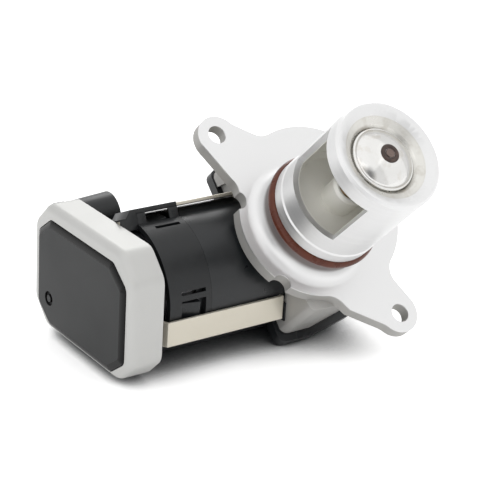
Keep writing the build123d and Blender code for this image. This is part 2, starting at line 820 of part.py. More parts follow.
with BuildPart() as brushes:
    with BuildSketch(across_motor(brush_plate_high_x)):
        with PolarLocations(commutator_radius + brush_gap + brush_length / 2, 2):
            Rectangle(brush_length, brush_width)
        Circle(commutator_radius + brush_gap, mode=Mode.SUBTRACT)
    extrude(amount=brush_thick)
finish(brushes, "brushes")


def tooth_points(root, tip, root_half, tip_half, middle):
    """One trapezoid tooth between two radii; half widths are angles in radians."""
    return [
        (root * cos(middle - root_half), root * sin(middle - root_half)),
        (tip * cos(middle - tip_half), tip * sin(middle - tip_half)),
        (tip * cos(middle + tip_half), tip * sin(middle + tip_half)),
        (root * cos(middle + root_half), root * sin(middle + root_half)),
    ]


def gear_points(teeth, start, centre=(0, 0)):
    """Outline of an external gear about its centre, with a tooth centred on the start angle."""
    pitch = gear_module * teeth / 2
    addendum = gear_module - tooth_clearance / 2
    thin = tooth_clearance / (2 * pitch)
    outline = []
    for tooth in range(teeth):
        middle = start + 2 * pi * tooth / teeth
        outline += tooth_points(pitch - gear_module - tooth_clearance / 2, pitch + addendum,
                                pi / teeth * tooth_root_share - thin, pi / teeth * tooth_tip_share,
                                middle)
    return [(centre[0] + x, centre[1] + y) for x, y in outline]


def ring_points(teeth, start):
    """Inner outline of the ring gear, with a tooth space centred on the start angle."""
    pitch = gear_module * teeth / 2
    outline = []
    for tooth in range(teeth):
        middle = start + 2 * pi * tooth / teeth
        outline += tooth_points(pitch - gear_module + tooth_clearance / 2,
                                pitch + gear_module + tooth_clearance / 2,
                                pi / teeth * space_mouth_share, pi / teeth * space_root_share,
                                middle)
    return outline


sun_pitch = gear_module * sun_teeth / 2
planet_pitch = gear_module * planet_teeth / 2
planet_orbit = sun_pitch + planet_pitch
# The planets sit where whole teeth meet: a sun tooth at angle 0 meets a space of the first planet
planet_angles = [2 * pi * number / planet_count for number in range(planet_count)]


def planet_start(angle):
    """Tooth angle of a planet so that it meshes with the sun at this place."""
    return angle + pi + pi / planet_teeth + angle * sun_teeth / planet_teeth


with BuildPart() as sun_gear:
    with BuildSketch(across_motor(gear_low_x)):
        with BuildLine():
            Polyline(*gear_points(sun_teeth, 0), close=True)
        make_face()
        Circle(shaft_radius, mode=Mode.SUBTRACT)
    extrude(amount=gear_high_x - gear_low_x)
finish(sun_gear, "sun_gear")

for number, angle in enumerate(planet_angles, start=1):
    place = (planet_orbit * cos(angle), planet_orbit * sin(angle))
    with BuildPart() as planet_gear:
        with BuildSketch(across_motor(gear_low_x)):
            with BuildLine():
                Polyline(*gear_points(planet_teeth, planet_start(angle), place), close=True)
            make_face()
            with Locations(place):
                Circle(planet_pin_radius + running_gap, mode=Mode.SUBTRACT)
        extrude(amount=gear_high_x - gear_low_x)
    finish(planet_gear, f"planet_gear_{number}")

with BuildPart() as ring_gear:
    with BuildSketch(across_motor(bulkhead_high_x + seat_face_gap)):
        Circle(ring_radius)
        with BuildLine():
            Polyline(*ring_points(ring_teeth, 0), close=True)
        make_face(mode=Mode.SUBTRACT)
    extrude(amount=gear_bay_end_x - bulkhead_high_x - 2 * seat_face_gap)
finish(ring_gear, "ring_gear")

carrier_low_x = gear_bay_end_x + seat_face_gap
with BuildPart() as planet_pins:
    with BuildSketch(across_motor(gear_low_x)):
        with PolarLocations(planet_orbit, planet_count):
            Circle(planet_pin_radius)
    extrude(amount=carrier_low_x + carrier_thick - gear_low_x)
finish(planet_pins, "planet_pins")

pin_turn = degrees(atan2(pin_v + motor_drop, pin_w - motor_side))
with BuildPart() as crank_carrier:
    disc_at(carrier_low_x, carrier_low_x + carrier_thick, carrier_radius)
    disc_at(carrier_low_x + carrier_thick, hub_face_x, crank_hub_radius)
    # The motor plane's x runs along Y, and the valve's sideways direction leans away from it
    with BuildSketch(across_motor(hub_face_x)):
        with PolarLocations(crank_radius, 1, start_angle=pin_turn + valve_lean):
            Circle(crank_pin_radius)
    extrude(amount=crank_pin_end_x - hub_face_x)
    with BuildSketch(across_motor(carrier_low_x)):
        with PolarLocations(planet_orbit, planet_count):
            Circle(planet_pin_radius)
        Circle(shaft_radius + housing_gap)
    extrude(amount=carrier_thick, mode=Mode.SUBTRACT)
finish(crank_carrier, "crank_carrier")

with BuildPart() as carrier_bush:
    disc_at(carrier_bay_end_x, tube_end_x, carrier_bush_radius, crank_hub_radius + running_gap)
finish(carrier_bush, "carrier_bush")

window_angles = (84.25, 184.0, 284.0)
window_half_angle_wide = 11.25
slot_angles = (104.5, 166.5, 266.5)
slot_half_angle = 1.6
window_x_low_share = 0.28
window_x_high_share = 0.86
collar_length = seam_x - collar_end_x


def collar_window(middle_angle, half_angle, low_share, high_share, mode):
    """Window through the collar wall, between two shares of its length."""
    with BuildSketch(across_motor(collar_end_x + low_share * collar_length)) as wedge:
        half = radians(half_angle)
        middle = radians(middle_angle)
        far = 2 * housing_radius
        with BuildLine():
            Polyline((0, 0), (far * cos(middle - half), far * sin(middle - half)),
                     (far * cos(middle + half), far * sin(middle + half)), close=True)
        make_face()
    extrude(wedge.sketch, amount=(high_share - low_share) * collar_length, mode=mode)


with BuildPart() as snap_collar:
    disc_at(collar_end_x, seam_x - seat_face_gap, housing_radius, housing_radius - collar_wall)
    # Snap windows for the housing's latches, and slots that free the spring tongues
    for window_angle in window_angles:
        collar_window(window_angle, window_half_angle_wide, window_x_low_share, window_x_high_share,
                      Mode.SUBTRACT)
    for slot_angle in slot_angles:
        collar_window(slot_angle, slot_half_angle, window_x_low_share, window_x_high_share, Mode.SUBTRACT)
finish(snap_collar, "snap_collar")


def cap_outline(inset):
    """Rectangle with four cut corners, seen along X, drawn on the frame's own Y and Z."""
    low_y = cap_centre_y - cap_width / 2 + inset
    high_y = cap_centre_y + cap_width / 2 - inset
    low_z = cap_low_z + inset
    high_z = cap_high_z - inset
    trim = inset * (root2 - 1)
    cut_y = cap_cut_y - trim
    cut_z = cap_cut_z - trim
    return [
        (low_y + cut_y, low_z), (high_y - cut_y, low_z), (high_y, low_z + cut_z),
        (high_y, high_z - cut_z), (high_y - cut_y, high_z), (low_y + cut_y, high_z),
        (low_y, high_z - cut_z), (low_y, low_z + cut_z),
    ]


def lid_outline(grow):
    """Outline of the lid, with room added all round for its recess."""
    half_y = lid_width / 2 + grow
    half_z = lid_height / 2 + grow
    return [
        (cap_centre_y - half_y + lid_cut_y, lid_centre_z - half_z),
        (cap_centre_y + half_y - lid_cut_y, lid_centre_z - half_z),
        (cap_centre_y + half_y, lid_centre_z - half_z + lid_cut_z),
        (cap_centre_y + half_y, lid_centre_z + half_z - lid_cut_z),
        (cap_centre_y + half_y - lid_cut_y, lid_centre_z + half_z),
        (cap_centre_y - half_y + lid_cut_y, lid_centre_z + half_z),
        (cap_centre_y - half_y, lid_centre_z + half_z - lid_cut_z),
        (cap_centre_y - half_y, lid_centre_z - half_z + lid_cut_z),
    ]


lid_back_x = lid_front_x + lid_thick
with BuildPart() as end_cap:
    with BuildSketch(across_side(cap_front_x)):
        outline_face(cap_outline(0), cap_corner)
    extrude(amount=cap_back_x - cap_front_x)
    fillet(end_cap.faces().sort_by(Axis.X)[0].edges(), cap_front_round)
    # Hollow from behind, leaving the front wall with its opening for the lid
    pocket_front_x = lid_back_x + cap_wall / 2
    with BuildSketch(across_side(pocket_front_x)):
        outline_face(cap_outline(cap_wall), cap_corner - cap_wall / 2)
    extrude(amount=cap_back_x - pocket_front_x, mode=Mode.SUBTRACT)
    with BuildSketch(across_side(cap_front_x)):
        outline_face(lid_outline(lid_gap), lid_corner)
    extrude(amount=lid_back_x - cap_front_x, mode=Mode.SUBTRACT)
    with BuildSketch(across_side(cap_front_x)):
        outline_face(lid_outline(-cap_window_inset), lid_corner)
    extrude(amount=cap_back_x - cap_front_x, mode=Mode.SUBTRACT)
finish(end_cap, "end_cap")

with BuildPart() as cap_lid:
    with BuildSketch(across_side(lid_front_x)):
        outline_face(lid_outline(0), lid_corner)
    extrude(amount=lid_thick)
    lid_front = cap_lid.faces().sort_by(Axis.X)[0]
    chamfer(lid_front.edges(), lid_bevel_width, lid_bevel, reference=lid_front)
    with BuildSketch(across_side(lid_front_x)):
        with Locations((lid_dimple_y, lid_dimple_z)):
            Circle(lid_dimple_radius)
            Circle(lid_dimple_core, mode=Mode.SUBTRACT)
    extrude(amount=lid_dimple_depth, mode=Mode.SUBTRACT)
finish(cap_lid, "cap_lid")

with BuildPart() as connector_housing:
    # Closing plate inside the cap's mouth, hub behind it, and the lug with the socket
    plate_front_x = connector_face_x - socket_wall
    with BuildSketch(across_side(plate_front_x)):
        outline_face(cap_outline(cap_wall + seat_face_gap), cap_corner - cap_wall / 2)
    extrude(amount=socket_wall)
    disc_at(connector_face_x, collar_end_x - seat_face_gap, connector_hub_radius)
    with BuildSketch(across_side(connector_face_x)):
        with BuildLine():
            lug_turn = atan2(socket_z - motor_z, socket_y - motor_y)
            lug_side = (-sin(lug_turn), cos(lug_turn))
            Polyline((motor_y + socket_lug_radius * lug_side[0], motor_z + socket_lug_radius * lug_side[1]),
                     (socket_y + socket_lug_radius * lug_side[0], socket_z + socket_lug_radius * lug_side[1]),
                     (socket_y - socket_lug_radius * lug_side[0], socket_z - socket_lug_radius * lug_side[1]),
                     (motor_y - socket_lug_radius * lug_side[0], motor_z - socket_lug_radius * lug_side[1]),
                     close=True)
        make_face()
        with Locations((socket_y, socket_z)):
            Circle(socket_lug_radius)
    extrude(amount=socket_plate_thick)
    socket_base_x = connector_face_x + socket_plate_thick
    with BuildSketch(across_side(socket_base_x)):
        with Locations((socket_y, socket_z)):
            Circle(socket_base_radius)
    with BuildSketch(across_side(socket_mouth_x)):
        with Locations((socket_y, socket_z)):
            Circle(socket_mouth_radius)
    loft()
    with BuildSketch(across_side(socket_base_x)):
        with Locations((socket_y, socket_z)):
            Circle(socket_base_radius - socket_wall)
    with BuildSketch(across_side(socket_mouth_x)):
        with Locations((socket_y, socket_z)):
            Circle(socket_mouth_radius - socket_wall)
    loft(mode=Mode.SUBTRACT)
    # Bore for the shaft and its rear bush, posts for the board, holes for the pins
    disc_at(plate_front_x, collar_end_x, bush_radius, mode=Mode.SUBTRACT)
    board_back_x = shaft_rear_x - sensor_magnet_thick - board_gap
    with BuildSketch(across_side(board_back_x)):
        with Locations((cap_centre_y, lid_centre_z)):
            with GridLocations(board_width - 4 * board_post_radius, board_height - 4 * board_post_radius, 2, 2):
                Circle(board_post_radius)
    extrude(amount=plate_front_x - board_back_x)
    with BuildSketch(across_side(plate_front_x)):
        with Locations((socket_y, socket_z)):
            with GridLocations(0, pin_spacing, 1, 3):
                Circle(pin_radius)
    extrude(amount=socket_base_x - plate_front_x, mode=Mode.SUBTRACT)
    for angle in strap_angles:
        strap_solid(angle, strap_clearance, Mode.SUBTRACT)
finish(connector_housing, "connector_housing")

with BuildPart() as connector_pins:
    with BuildSketch(across_side(connector_face_x + seat_face_gap)):
        with Locations((socket_y, socket_z)):
            with GridLocations(0, pin_spacing, 1, 3):
                Circle(pin_radius)
    extrude(amount=pin_tip_x - connector_face_x)
finish(connector_pins, "connector_pins")

with BuildPart() as circuit_board:
    with BuildSketch(across_side(board_back_x - board_thick)):
        with Locations((cap_centre_y, lid_centre_z)):
            RectangleRounded(board_width, board_height, board_post_radius)
    extrude(amount=board_thick)
finish(circuit_board, "circuit_board")

with BuildPart() as sensor_magnet:
    disc_at(shaft_rear_x - sensor_magnet_thick, shaft_rear_x, sensor_magnet_radius)
finish(sensor_magnet, "sensor_magnet")

for number, angle in enumerate(strap_angles, start=1):
    with BuildPart() as tie_strap:
        strap_solid(angle, 0)
    finish(tie_strap, f"tie_strap_{number}")
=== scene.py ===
import json
from math import pi, radians, sqrt

import bmesh
import bpy
from mathutils import Matrix, Vector


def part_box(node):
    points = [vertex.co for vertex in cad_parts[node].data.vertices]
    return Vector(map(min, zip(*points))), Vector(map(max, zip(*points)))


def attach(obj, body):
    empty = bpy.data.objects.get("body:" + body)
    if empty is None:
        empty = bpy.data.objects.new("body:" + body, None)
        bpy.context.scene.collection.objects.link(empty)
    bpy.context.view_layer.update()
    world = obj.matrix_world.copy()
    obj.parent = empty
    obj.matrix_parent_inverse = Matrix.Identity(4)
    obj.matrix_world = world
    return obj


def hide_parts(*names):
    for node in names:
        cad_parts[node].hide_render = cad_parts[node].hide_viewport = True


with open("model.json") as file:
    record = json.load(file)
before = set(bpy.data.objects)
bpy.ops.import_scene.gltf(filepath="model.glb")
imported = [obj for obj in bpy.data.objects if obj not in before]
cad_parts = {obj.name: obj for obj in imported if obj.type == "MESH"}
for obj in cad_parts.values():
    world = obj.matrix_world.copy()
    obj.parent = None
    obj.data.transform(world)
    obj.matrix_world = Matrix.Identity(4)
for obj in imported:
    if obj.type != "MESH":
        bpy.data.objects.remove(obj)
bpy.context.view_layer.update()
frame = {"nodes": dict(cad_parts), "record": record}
nodes = frame["nodes"]

# The photographer's table: a long lens at the photograph's angle, a white bench that runs into a
# white room, and soft lamps overhead, at the left, at the right and behind.
camera = bpy.data.objects.new("camera", bpy.data.cameras.new("camera"))
bpy.context.scene.collection.objects.link(camera)
camera.data.lens = 120.16
camera.data.clip_end = 20
camera.location = (-0.33067, -0.40684, 0.20799)
camera.rotation_euler = (1.179493, -0.057099, -0.613438)
bpy.context.scene.camera = camera
bpy.context.scene.view_settings.view_transform = "Standard"


def wire(tree, kind, settings=None, values=None, links=None):
    """Put a node in a tree, with its settings, its input values and what feeds it."""
    node = tree.nodes.new(kind)
    for setting, value in (settings or {}).items():
        setattr(node, setting, value)
    for socket, value in (values or {}).items():
        node.inputs[socket].default_value = value
    for socket, source in (links or {}).items():
        tree.links.new(source, node.inputs[socket])
    return node


def rays_that_see(tree, paths):
    """One for rays from the lens, a mirror or glass, and nought for light that falls on things."""
    lens_or_mirror = wire(tree, "ShaderNodeMath", {"operation": "ADD", "use_clamp": True}, None,
                          {0: paths.outputs["Is Camera Ray"], 1: paths.outputs["Is Glossy Ray"]})
    or_glass = wire(tree, "ShaderNodeMath", {"operation": "ADD", "use_clamp": True}, None,
                    {0: lens_or_mirror.outputs[0], 1: paths.outputs["Is Transmission Ray"]})
    return or_glass.outputs[0]


room = bpy.data.worlds.new("white_room")
bpy.context.scene.world = room
room.use_nodes = True
room_tree = room.node_tree
room_tree.nodes.clear()
# Lens, mirror and glass rays see the white room; the light that falls on the object is weaker.
# The photographer stands dark in front of it, and the polished head picks that up.
photographer_way = (-0.546, -0.749, 0.375)
room_paths = wire(room_tree, "ShaderNodeLightPath")
room_way = wire(room_tree, "ShaderNodeTexCoord")
room_dark = wire(room_tree, "ShaderNodeVectorMath", {"operation": "DOT_PRODUCT"},
                 {1: photographer_way}, {0: room_way.outputs["Generated"]})
room_fade = wire(room_tree, "ShaderNodeMapRange", {"interpolation_type": "SMOOTHSTEP"},
                 {"From Min": 0.90, "From Max": 0.985, "To Min": 0.0, "To Max": 0.75},
                 {"Value": room_dark.outputs["Value"]})
room_mirror = wire(room_tree, "ShaderNodeMath", {"operation": "MULTIPLY"}, None,
                   {0: room_fade.outputs["Result"], 1: room_paths.outputs["Is Glossy Ray"]})
room_clear = wire(room_tree, "ShaderNodeMath", {"operation": "SUBTRACT"}, {0: 1.0},
                  {1: room_mirror.outputs[0]})
room_level = wire(room_tree, "ShaderNodeMapRange", None, {"To Min": 0.62, "To Max": 1.0},
                  {"Value": rays_that_see(room_tree, room_paths)})
room_strength = wire(room_tree, "ShaderNodeMath", {"operation": "MULTIPLY"}, None,
                     {0: room_level.outputs["Result"], 1: room_clear.outputs[0]})
room_light = wire(room_tree, "ShaderNodeBackground", None, {"Color": (1, 1, 1, 1)},
                  {"Strength": room_strength.outputs[0]})
wire(room_tree, "ShaderNodeOutputWorld", None, None, {"Surface": room_light.outputs[0]})

bench_z = min(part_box("drive_housing")[0].z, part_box("end_cap")[0].z)
bench_half, bench_gap = 4.0, 0.0002
bench_shape = bmesh.new()
bmesh.ops.create_grid(bench_shape, x_segments=1, y_segments=1, size=bench_half,
                      matrix=Matrix.Translation((0, 0, bench_z - bench_gap)))
bench_mesh = bpy.data.meshes.new("bench")
bench_shape.to_mesh(bench_mesh)
bench_shape.free()
bench = bpy.data.objects.new("bench", bench_mesh)
bpy.context.scene.collection.objects.link(bench)
bench_white = bpy.data.materials.new("bench_white")
bench_white.use_nodes = True
bench_tree = bench_white.node_tree
bench_tree.nodes.clear()
bench_paths = wire(bench_tree, "ShaderNodeLightPath")
# Its glow stands for the lit backdrop, so it fades where the object shuts that out.
bench_open = wire(bench_tree, "ShaderNodeAmbientOcclusion", {"samples": 12}, {"Distance": 0.032})
bench_fade = wire(bench_tree, "ShaderNodeMapRange", {"interpolation_type": "SMOOTHSTEP"},
                  {"From Min": 0.15, "From Max": 0.65, "To Min": 0.0, "To Max": 0.55},
                  {"Value": bench_open.outputs["AO"]})
bench_level = wire(bench_tree, "ShaderNodeMath", {"operation": "MULTIPLY"}, None,
                   {0: rays_that_see(bench_tree, bench_paths), 1: bench_fade.outputs["Result"]})
bench_glow = wire(bench_tree, "ShaderNodeEmission", None, None,
                  {"Strength": bench_level.outputs[0]})
# The bench's own colour is painted dark where the object stands close over it: a painted contact
# shadow
bench_shadow_reach = wire(bench_tree, "ShaderNodeMapRange", None, {"From Min": 0.05, "From Max": 0.45},
                  {"Value": bench_open.outputs["AO"]})
# A Mix node takes two colours at its sockets 6 and 7, and gives their mixture at 2
first_colour, second_colour, mixed_colour = 6, 7, 2
bench_painted_shadow = wire(bench_tree, "ShaderNodeMix", {"data_type": "RGBA"},
                  {first_colour: (0.075, 0.08, 0.09, 1), second_colour: (0.92, 0.92, 0.92, 1)},
                  {"Factor": bench_shadow_reach.outputs["Result"]})
bench_matte = wire(bench_tree, "ShaderNodeBsdfDiffuse", None, None,
                   {"Color": bench_painted_shadow.outputs[mixed_colour]})
bench_both = wire(bench_tree, "ShaderNodeAddShader", None, None,
                  {0: bench_matte.outputs[0], 1: bench_glow.outputs[0]})
wire(bench_tree, "ShaderNodeOutputMaterial", None, None, {"Surface": bench_both.outputs[0]})
bench_mesh.materials.append(bench_white)


def soft_lamp(name, place, aim, size, power):
    """A square soft lamp that points at a place on the object."""
    lamp = bpy.data.objects.new(name, bpy.data.lights.new(name, "AREA"))
    lamp.data.shape = "SQUARE"
    lamp.data.size = size
    lamp.data.energy = power
    lamp.location = place
    lamp.rotation_euler = (Vector(aim) - Vector(place)).to_track_quat("-Z", "Y").to_euler()
    bpy.context.scene.collection.objects.link(lamp)


soft_lamp("lamp_above", place=(-0.15, -0.1, 0.95), aim=(0, 0, 0), size=1.7, power=2.5)
soft_lamp("lamp_left", place=(-1.0, -0.45, 0.45), aim=(0, 0, 0), size=1.3, power=1.9)
soft_lamp("lamp_right", place=(0.7, -0.75, 0.5), aim=(0, 0, 0), size=1.3, power=1.1)
soft_lamp("lamp_behind", place=(0.40, 0.55, 0.42), aim=(-0.04, 0.02, -0.02), size=0.42, power=1.5)


# Valve casting: one aluminium die casting with its flange, two ears, neck, window cage and the
# open chamber for the drive. The flange's face and the neck are machined; the rest keeps the skin
# that shot blasting leaves, and every edge is broken.
def socket_set(group, inputs, outputs):
    """Name the sockets of a shader group."""
    for socket_name, kind, value in inputs:
        socket = group.interface.new_socket(socket_name, in_out="INPUT", socket_type=kind)
        if value is not None:
            socket.default_value = value
    for socket_name, kind in outputs:
        group.interface.new_socket(socket_name, in_out="OUTPUT", socket_type=kind)


# Skin of a cast or moulded surface: fine grain to raise, and slow clouds of tone
skin = bpy.data.node_groups.new("moulded_skin", "ShaderNodeTree")
socket_set(skin,
           [("Grain Size", "NodeSocketFloat", 2500.0), ("Cloud Size", "NodeSocketFloat", 60.0)],
           [("Grain", "NodeSocketFloat"), ("Cloud", "NodeSocketFloat")])
skin_in = wire(skin, "NodeGroupInput")
skin_where = wire(skin, "ShaderNodeTexCoord")
skin_grain = wire(skin, "ShaderNodeTexNoise", None, {"Detail": 3.0},
                  {"Vector": skin_where.outputs["Object"], "Scale": skin_in.outputs["Grain Size"]})
skin_cloud = wire(skin, "ShaderNodeTexNoise", None, {"Detail": 4.0, "Roughness": 0.6},
                  {"Vector": skin_where.outputs["Object"], "Scale": skin_in.outputs["Cloud Size"]})
wire(skin, "NodeGroupOutput", None, None,
     {"Grain": skin_grain.outputs["Fac"], "Cloud": skin_cloud.outputs["Fac"]})

# Noise hardly leaves this range, so tones and gloss are spread over it
noise_low, noise_high = 0.3, 0.7

# Place round the valve axis: distance from it, and distance along it from the flange's face
valve_place = bpy.data.node_groups.new("place_round_valve_axis", "ShaderNodeTree")
socket_set(valve_place, [], [("Radius", "NodeSocketFloat"), ("Along", "NodeSocketFloat")])
place_where = wire(valve_place, "ShaderNodeTexCoord")
place_turn = wire(valve_place, "ShaderNodeMapping", {"vector_type": "POINT"},
                  {"Rotation": (radians(-45), 0, 0)}, {"Vector": place_where.outputs["Object"]})
place_parts = wire(valve_place, "ShaderNodeSeparateXYZ", None, None,
                   {0: place_turn.outputs["Vector"]})
place_flat = wire(valve_place, "ShaderNodeCombineXYZ", None, None,
                  {"X": place_parts.outputs["X"], "Y": place_parts.outputs["Y"]})
place_reach = wire(valve_place, "ShaderNodeVectorMath", {"operation": "LENGTH"}, None,
                   {0: place_flat.outputs[0]})
wire(valve_place, "NodeGroupOutput", None, None,
     {"Radius": place_reach.outputs["Value"], "Along": place_parts.outputs["Z"]})

# Lathe marks: fine and broad rings that differ from turn to turn
lathe = bpy.data.node_groups.new("lathe_marks", "ShaderNodeTree")
socket_set(lathe,
           [("Place", "NodeSocketFloat", 0.0), ("Turns per metre", "NodeSocketFloat", 5000.0)],
           [("Fine", "NodeSocketFloat"), ("Broad", "NodeSocketFloat")])
lathe_in = wire(lathe, "NodeGroupInput")
lathe_fine = wire(lathe, "ShaderNodeTexNoise", {"noise_dimensions": "1D"}, {"Detail": 2.0},
                  {"W": lathe_in.outputs["Place"], "Scale": lathe_in.outputs["Turns per metre"]})
lathe_wide = wire(lathe, "ShaderNodeMath", {"operation": "MULTIPLY"}, {1: 0.12},
                  {0: lathe_in.outputs["Turns per metre"]})
lathe_broad = wire(lathe, "ShaderNodeTexNoise", {"noise_dimensions": "1D"}, {"Detail": 2.0},
                   {"W": lathe_in.outputs["Place"], "Scale": lathe_wide.outputs[0]})
wire(lathe, "NodeGroupOutput", None, None,
     {"Fine": lathe_fine.outputs["Fac"], "Broad": lathe_broad.outputs["Fac"]})

# Handling wear: the broken edges of a piece, which carry a mark, worn in patches and not in a line
wear = bpy.data.node_groups.new("worn_edges", "ShaderNodeTree")
socket_set(wear, [("Amount", "NodeSocketFloat", 0.6)], [("Edge", "NodeSocketFloat")])
wear_in = wire(wear, "NodeGroupInput")
wear_where = wire(wear, "ShaderNodeTexCoord")
wear_mark = wire(wear, "ShaderNodeAttribute", {"attribute_name": "eased"})
wear_patch = wire(wear, "ShaderNodeTexNoise", None, {"Scale": 500.0, "Detail": 4.0},
                  {"Vector": wear_where.outputs["Object"]})
wear_break = wire(wear, "ShaderNodeMapRange", None, {"From Min": 0.42, "From Max": 0.62},
                  {"Value": wear_patch.outputs["Fac"]})
wear_here = wire(wear, "ShaderNodeMath", {"operation": "MULTIPLY"}, None,
                 {0: wear_mark.outputs["Fac"], 1: wear_break.outputs["Result"]})
wear_edge = wire(wear, "ShaderNodeMath", {"operation": "MULTIPLY"}, None,
                 {0: wear_here.outputs[0], 1: wear_in.outputs["Amount"]})
wire(wear, "NodeGroupOutput", None, None, {"Edge": wear_edge.outputs[0]})

# Marks of handling and storage: a few long thin scuffs
scuffs = bpy.data.node_groups.new("scuffs", "ShaderNodeTree")
socket_set(scuffs, [("Stretch", "NodeSocketVector", (40.0, 2200.0, 2200.0))],
           [("Scuff", "NodeSocketFloat")])
scuff_in = wire(scuffs, "NodeGroupInput")
scuff_where = wire(scuffs, "ShaderNodeTexCoord")
scuff_turn = wire(scuffs, "ShaderNodeMapping", {"vector_type": "POINT"},
                  {"Rotation": (0.3, 0.2, 0.4)},
                  {"Vector": scuff_where.outputs["Object"], "Scale": scuff_in.outputs["Stretch"]})
scuff_line = wire(scuffs, "ShaderNodeTexNoise", None, {"Scale": 1.0, "Detail": 2.0},
                  {"Vector": scuff_turn.outputs["Vector"]})
scuff_few = wire(scuffs, "ShaderNodeMapRange", None, {"From Min": 0.70, "From Max": 0.80},
                 {"Value": scuff_line.outputs["Fac"]})
wire(scuffs, "NodeGroupOutput", None, None, {"Scuff": scuff_few.outputs["Result"]})


def group_node(tree, group, values=None, links=None):
    """Place a shared effect in a material, with this material's own values."""
    return wire(tree, "ShaderNodeGroup", {"node_tree": group}, values, links)


def blend_colour(tree, factor, first, second):
    """Mix two colours, each a colour or the output of another node, by a mask."""
    mix = wire(tree, "ShaderNodeMix", {"data_type": "RGBA"}, None, {"Factor": factor})
    for socket, colour in ((mix.inputs[first_colour], first), (mix.inputs[second_colour], second)):
        if isinstance(colour, tuple):
            socket.default_value = (*colour, 1)
        else:
            tree.links.new(colour, socket)
    return mix.outputs[mixed_colour]


def even_finish(name, dark, light, metallic, rough, grain, cloud, bump,
                worn=None, scuffed=None, sheen=0.5):
    """A cast, moulded or rolled finish: its tone and gloss drift, and its grain is raised."""
    grain_height, wear_amount, scuff_strength = 0.00005, 0.5, 0.12
    made = bpy.data.materials.new(name)
    made.use_nodes = True
    tree = made.node_tree
    shader = tree.nodes["Principled BSDF"]
    skin_here = group_node(tree, skin, {"Grain Size": grain, "Cloud Size": cloud})
    spread = wire(tree, "ShaderNodeMapRange", None, {"From Min": noise_low, "From Max": noise_high},
                  {"Value": skin_here.outputs["Cloud"]})
    colour = blend_colour(tree, spread.outputs["Result"], dark, light)
    gloss = wire(tree, "ShaderNodeMapRange", None,
                 {"From Min": noise_low, "From Max": noise_high,
                  "To Min": rough[0], "To Max": rough[1]},
                 {"Value": skin_here.outputs["Cloud"]}).outputs["Result"]
    if worn:
        edges = group_node(tree, wear, {"Amount": wear_amount})
        colour = blend_colour(tree, edges.outputs["Edge"], colour, worn)
    if scuffed:
        marks = group_node(tree, scuffs)
        faint = wire(tree, "ShaderNodeMath", {"operation": "MULTIPLY"}, {1: scuff_strength},
                     {0: marks.outputs["Scuff"]})
        colour = blend_colour(tree, faint.outputs[0], colour, scuffed)
        gloss = wire(tree, "ShaderNodeMath", {"operation": "MULTIPLY_ADD"}, {1: scuff_strength},
                     {0: marks.outputs["Scuff"], 2: gloss}).outputs[0]
    raised = wire(tree, "ShaderNodeBump", None, {"Strength": bump, "Distance": grain_height},
                  {"Height": skin_here.outputs["Grain"]})
    tree.links.new(colour, shader.inputs["Base Color"])
    tree.links.new(gloss, shader.inputs["Roughness"])
    tree.links.new(raised.outputs["Normal"], shader.inputs["Normal"])
    shader.inputs["Metallic"].default_value = metallic
    shader.inputs["Specular IOR Level"].default_value = sheen
    return made


def place_piece(name, shape, crease=40):
    """Turn a finished bmesh into an object, smooth but for creases sharper than the angle given."""
    mesh = bpy.data.meshes.new(name)
    shape.to_mesh(mesh)
    shape.free()
    mesh.shade_smooth()
    mesh.set_sharp_from_angle(angle=radians(crease))
    piece = bpy.data.objects.new(name, mesh)
    bpy.context.scene.collection.objects.link(piece)
    return piece


# Corners nearer to each other than this are taken as one
weld = 0.000002


def eased_copy(name, node_name, ease, sharp_turn=32):
    """A copy of a solid's mesh with its edges broken, as a brush or a mould leaves them."""
    one_face_turn, crease_left = 0.8, 50
    shape = bmesh.new()
    shape.from_mesh(nodes[node_name].data)
    bmesh.ops.remove_doubles(shape, verts=shape.verts, dist=weld)
    bmesh.ops.dissolve_limit(shape, angle_limit=radians(one_face_turn), verts=shape.verts,
                             edges=shape.edges)
    mark = shape.faces.layers.float.new("eased")
    sharp = [edge for edge in shape.edges
             if len(edge.link_faces) == 2 and edge.calc_face_angle(0) > radians(sharp_turn)]
    eased = bmesh.ops.bevel(shape, geom=sharp, offset=ease, offset_type="OFFSET", segments=3,
                            profile=0.5, affect="EDGES", material=-1, clamp_overlap=True)
    for face in eased["faces"]:
        face[mark] = 1.0
    piece = place_piece(name, shape, crease_left)
    # Wide flat faces keep their own normal, so that only the broken edge turns the light
    flats = piece.modifiers.new("flat_faces", "WEIGHTED_NORMAL")
    flats.weight = 90
    flats.keep_sharp = True
    return piece


casting_metal = bpy.data.materials.new("casting_metal")
casting_metal.use_nodes = True
casting_tree = casting_metal.node_tree
casting_shader = casting_tree.nodes["Principled BSDF"]
casting_place = group_node(casting_tree, valve_place)
casting_skin = group_node(casting_tree, skin, {"Grain Size": 1500.0, "Cloud Size": 70.0})
# Machined where the surface is the flange's face or the turned neck in front of it, and left as
# cast inside the cage, which is all that lies within its bore and short of its mouth
face_start, face_full = -0.0006, -0.0003
bore_edge, bore_full = 0.0178, 0.0176
mouth_edge, mouth_full = 0.0478, 0.0476
casting_front = wire(casting_tree, "ShaderNodeMapRange", None,
                     {"From Min": face_start, "From Max": face_full},
                     {"Value": casting_place.outputs["Along"]})
casting_bore = wire(casting_tree, "ShaderNodeMapRange", None,
                    {"From Min": bore_edge, "From Max": bore_full},
                    {"Value": casting_place.outputs["Radius"]})
casting_deep = wire(casting_tree, "ShaderNodeMapRange", None,
                    {"From Min": mouth_edge, "From Max": mouth_full},
                    {"Value": casting_place.outputs["Along"]})
casting_inside = wire(casting_tree, "ShaderNodeMath", {"operation": "MULTIPLY"}, None,
                      {0: casting_bore.outputs["Result"], 1: casting_deep.outputs["Result"]})
casting_machined = wire(
    casting_tree, "ShaderNodeMath", {"operation": "SUBTRACT", "use_clamp": True}, None,
    {0: casting_front.outputs["Result"], 1: casting_inside.outputs[0]}).outputs[0]
casting_rings = group_node(casting_tree, lathe, {"Turns per metre": 4200.0},
                           {"Place": casting_place.outputs["Along"]})
